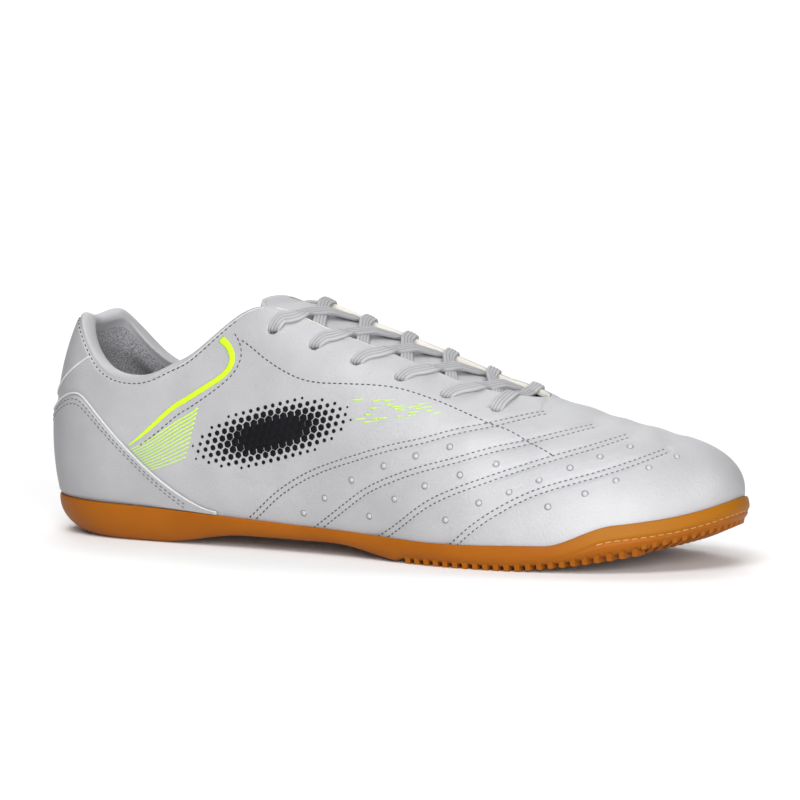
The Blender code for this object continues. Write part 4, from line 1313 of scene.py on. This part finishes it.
def strand(row, t_eye, next_row, inner, over_by, lean):
    """From inside an eyelet over its facing, across the throat, and down under the far facing's edge.

    Lean is the share of the way to the next row that is made before the strand leaves its facing.
    """
    side, lift = (1 if inner else -1), LACE_THICK / 2
    points, ups = [], []
    facing_steps = (
        (0.0, t_eye, -3.2), (0.0, t_eye, -1.0), (0.16, t_eye + 0.02, 0.5), (0.48, t_eye + 0.07, 1.0),
        (0.76, (t_eye + 1) / 2 + 0.02, 1.15), (1.0, FACING_END, 1.2),
    )
    for share, t_at, off in facing_steps:
        row_at = row + (next_row - row) * share * lean
        q = ROUND - row_at if inner else row_at
        out_of = raw_normal(q, t_at)
        points.append(last(q, t_at) + out_of * off)
        back = unit(last(q, t_at - 0.03) - last(q, t_at))
        ups.append(out_of if off > 0.2 else unit(out_of + back * (0.8 if off > -2 else 3.0)))
    for w_at in ACROSS:
        share = lean + (THROAT_ENDS - lean) * (1 - w_at) / 2.12
        here = tongue_top(row + (next_row - row) * share, side * w_at)
        rise = np.interp(w_at, RISE_AT, RISE)
        points.append(here + np.array((0, 0, lift + rise + over_by * math.exp(-((w_at / 0.42) ** 2)))))
        tilt = 0.5 * w_at + (FAR_TILT if inner else NEAR_TILT)
        ups.append(np.array((0.3, side * tilt, 1.0)))
    points, ups = np.array(points, float), np.array(ups, float)
    run = run_length(points)
    at = np.linspace(0, run[-1], STRAND_STEPS)
    path = through(run, points, at)
    ease = np.clip((np.arange(STRAND_STEPS) - EASE_FROM) / EASE_FROM, 0, 1)[:, None]
    return path + (soft(soft(path)) - path) * ease, unit(through(run, ups, at))


oval_braid, furrow = lace_profile()
print("furrows take up", (furrow > 0.5).mean().round(2), "of the lace's outline")

# %% [markdown]
# The near strands pass over the far ones. The straight bar that closes the throat at the bottom is
# two half strands, joined in the middle and softened.

# %% Strands and bar
laces = Bundle()
for k in range(EYELETS - 1):
    for inner, over_by, lean in ((True, 0.0, FAR_LEAN), (False, OVER_FAR, NEAR_LEAN)):
        way = strand(eyelet_rows[k], eyelet_t[k], eyelet_rows[k + 1], inner, over_by, lean)
        laces.add(*carried(*way, oval_braid))
halves = []
for inner in (False, True):
    row = eyelet_rows[-1]
    path, ups = strand(row, eyelet_t[-1], row + BAR_AHEAD, inner, BAR_OVER, NEAR_LEAN)
    cut = np.argmin(np.abs(path[:, 1] - BAR_MIDDLE))
    halves.append((path[:cut], ups[:cut]))
bar_path, bar_up = (np.concatenate([near, far[::-1]]) for near, far in zip(*halves))
laces.add(*carried(soft(bar_path), unit(soft(bar_up)), oval_braid))
solids = (*(f"lace_crossing_{k + 1}" for k in range(EYELETS - 1)), "lace_bar")
# The furrow depth darkens the braid there: painted shade.
furrows = {"furrow": np.tile(furrow, laces.count // LACE_POINTS)}
add_piece("laces", *laces.all(), braid_painted_furrow_shade, "lace_braid", solids, attributes=furrows)

# %% [markdown]
# ## The raw edge of the facings
# The facings are cut, not folded, and cream foam shows between their layers along the throat. A
# finish on a few faces of the rim would do, but an oval strip sunk into it has a cleaner edge.

# %% Facing edges
FOAM_SIZE, FOAM_UNDER, FOAM_SHOWS = (0.8, 2.5), WALL / 2 + 0.4, 0.12
facing_edge = Bundle()
edge_rows = np.linspace(FACING_TOP + 0.15, THROAT_END - 0.12, 150)
for q_edge in (edge_rows, ROUND - edge_rows):
    ones = np.ones_like(q_edge)
    up, upward = raw_normal(q_edge, ones), unit(last(q_edge, ones) - last(q_edge, ones * 0.98))
    path = last(q_edge, ones) - up * FOAM_UNDER + upward * FOAM_SHOWS
    facing_edge.add(*carried(path, up, oval(*FOAM_SIZE)))
add_piece("facing_edges", *facing_edge.all(), cream_edge, "silver_leather")

# %% [markdown]
# In front the collar's roll thins out to a narrow pale binding that ends at the facing's corner. It
# is a strip like the heel tab's piping, with a width that changes along it.

# %% Collar binding
BINDING, BINDING_WIDTHS = (3.5, 4.2, 5.0), (0.2, 0.6, 0.6)
BINDING_INSET, BINDING_HEIGHT, BINDING_LIFT = 0.9, 0.4, 0.1
binding = Bundle()
binding_q = np.linspace(BINDING[0], BINDING[-1], 70)
binding_line = np.stack([binding_q, inset_to_t(binding_q, BINDING_INSET)], -1)
binding_width = np.interp(binding_q, BINDING, BINDING_WIDTHS)
for side in both_sides(binding_line):
    binding.add(*strip(side, binding_width, BINDING_HEIGHT, BINDING_LIFT))
add_piece("collar_binding", *binding.all(), pale_piping, "silver_leather")

# %% [markdown]
# ## Floor and light
# The photograph has no edge between floor and backdrop. A plane and a wall would show one, so a
# single pale sheet curves up behind. Two broad soft lights stand low in front, one hangs above, and
# one lights the backdrop.

# %% Stage
FLOOR_FRONT, BEND_FROM, BEND_RADIUS, BACKDROP_TOP = -2.5, 1.6, 0.9, 4.0
turn = np.radians(np.linspace(0, 90, 14))
bend = np.stack([BEND_FROM + BEND_RADIUS * np.sin(turn), BEND_RADIUS * (1 - np.cos(turn))], -1)
backdrop_end = (BEND_FROM + BEND_RADIUS, BACKDROP_TOP)
profile = np.concatenate([[(FLOOR_FRONT, 0.0)], bend, [backdrop_end]])
away = np.array((-math.sin(AZIMUTH), math.cos(AZIMUTH), 0.0))
sideways = np.linspace(-4, 4, 9)
sheet = away * profile[:, None, :1] + RIGHT * sideways[None, :, None]
sheet = sheet + np.array((0, 0, 1)) * profile[:, None, 1:]
mesh = bpy.data.meshes.new("floor")
mesh.from_pydata(sheet.reshape(-1, 3).tolist(), [], grid_quads(*sheet.shape[:2])[:, ::-1].tolist())
mesh.shade_smooth()
mesh.materials.append(new_finish("floor", (0.78, 0.78, 0.78), 0.7)[0])
floor = bpy.data.objects.new("floor", mesh)
bpy.context.collection.objects.link(floor)


def soft_light(name, watts, size, place, target=(0.0, 0.0, 0.04)):
    """A square light of a size in metres that stands at a place and faces the target."""
    lamp = bpy.data.lights.new(name, "AREA")
    lamp.energy, lamp.size = watts, size
    light = bpy.data.objects.new(name, lamp)
    light.location = Vector(place)
    light.rotation_euler = (Vector(place) - Vector(target)).to_track_quat("Z", "Y").to_euler()
    bpy.context.collection.objects.link(light)


soft_light("key", 25.0, 1.0, (0.77, -1.34, 0.41))
soft_light("side", 11.0, 1.0, (1.34, -0.77, 0.41))
soft_light("over", 20.0, 1.0, (0.0, -0.8, 1.39))
soft_light("backdrop", 56.0, 2.0, (-0.7, 1.5, 2.0), (-0.9, 2.3, 0.2))
world = bpy.data.worlds.new("studio")
world.use_nodes = True
sky = world.node_tree.nodes["Background"].inputs
sky["Color"].default_value, sky["Strength"].default_value = (1.0, 1.0, 1.0, 1.0), 0.01
bpy.context.scene.world = world
bpy.context.scene.view_settings.view_transform = "Standard"
print(len(bpy.data.lights), "lights")
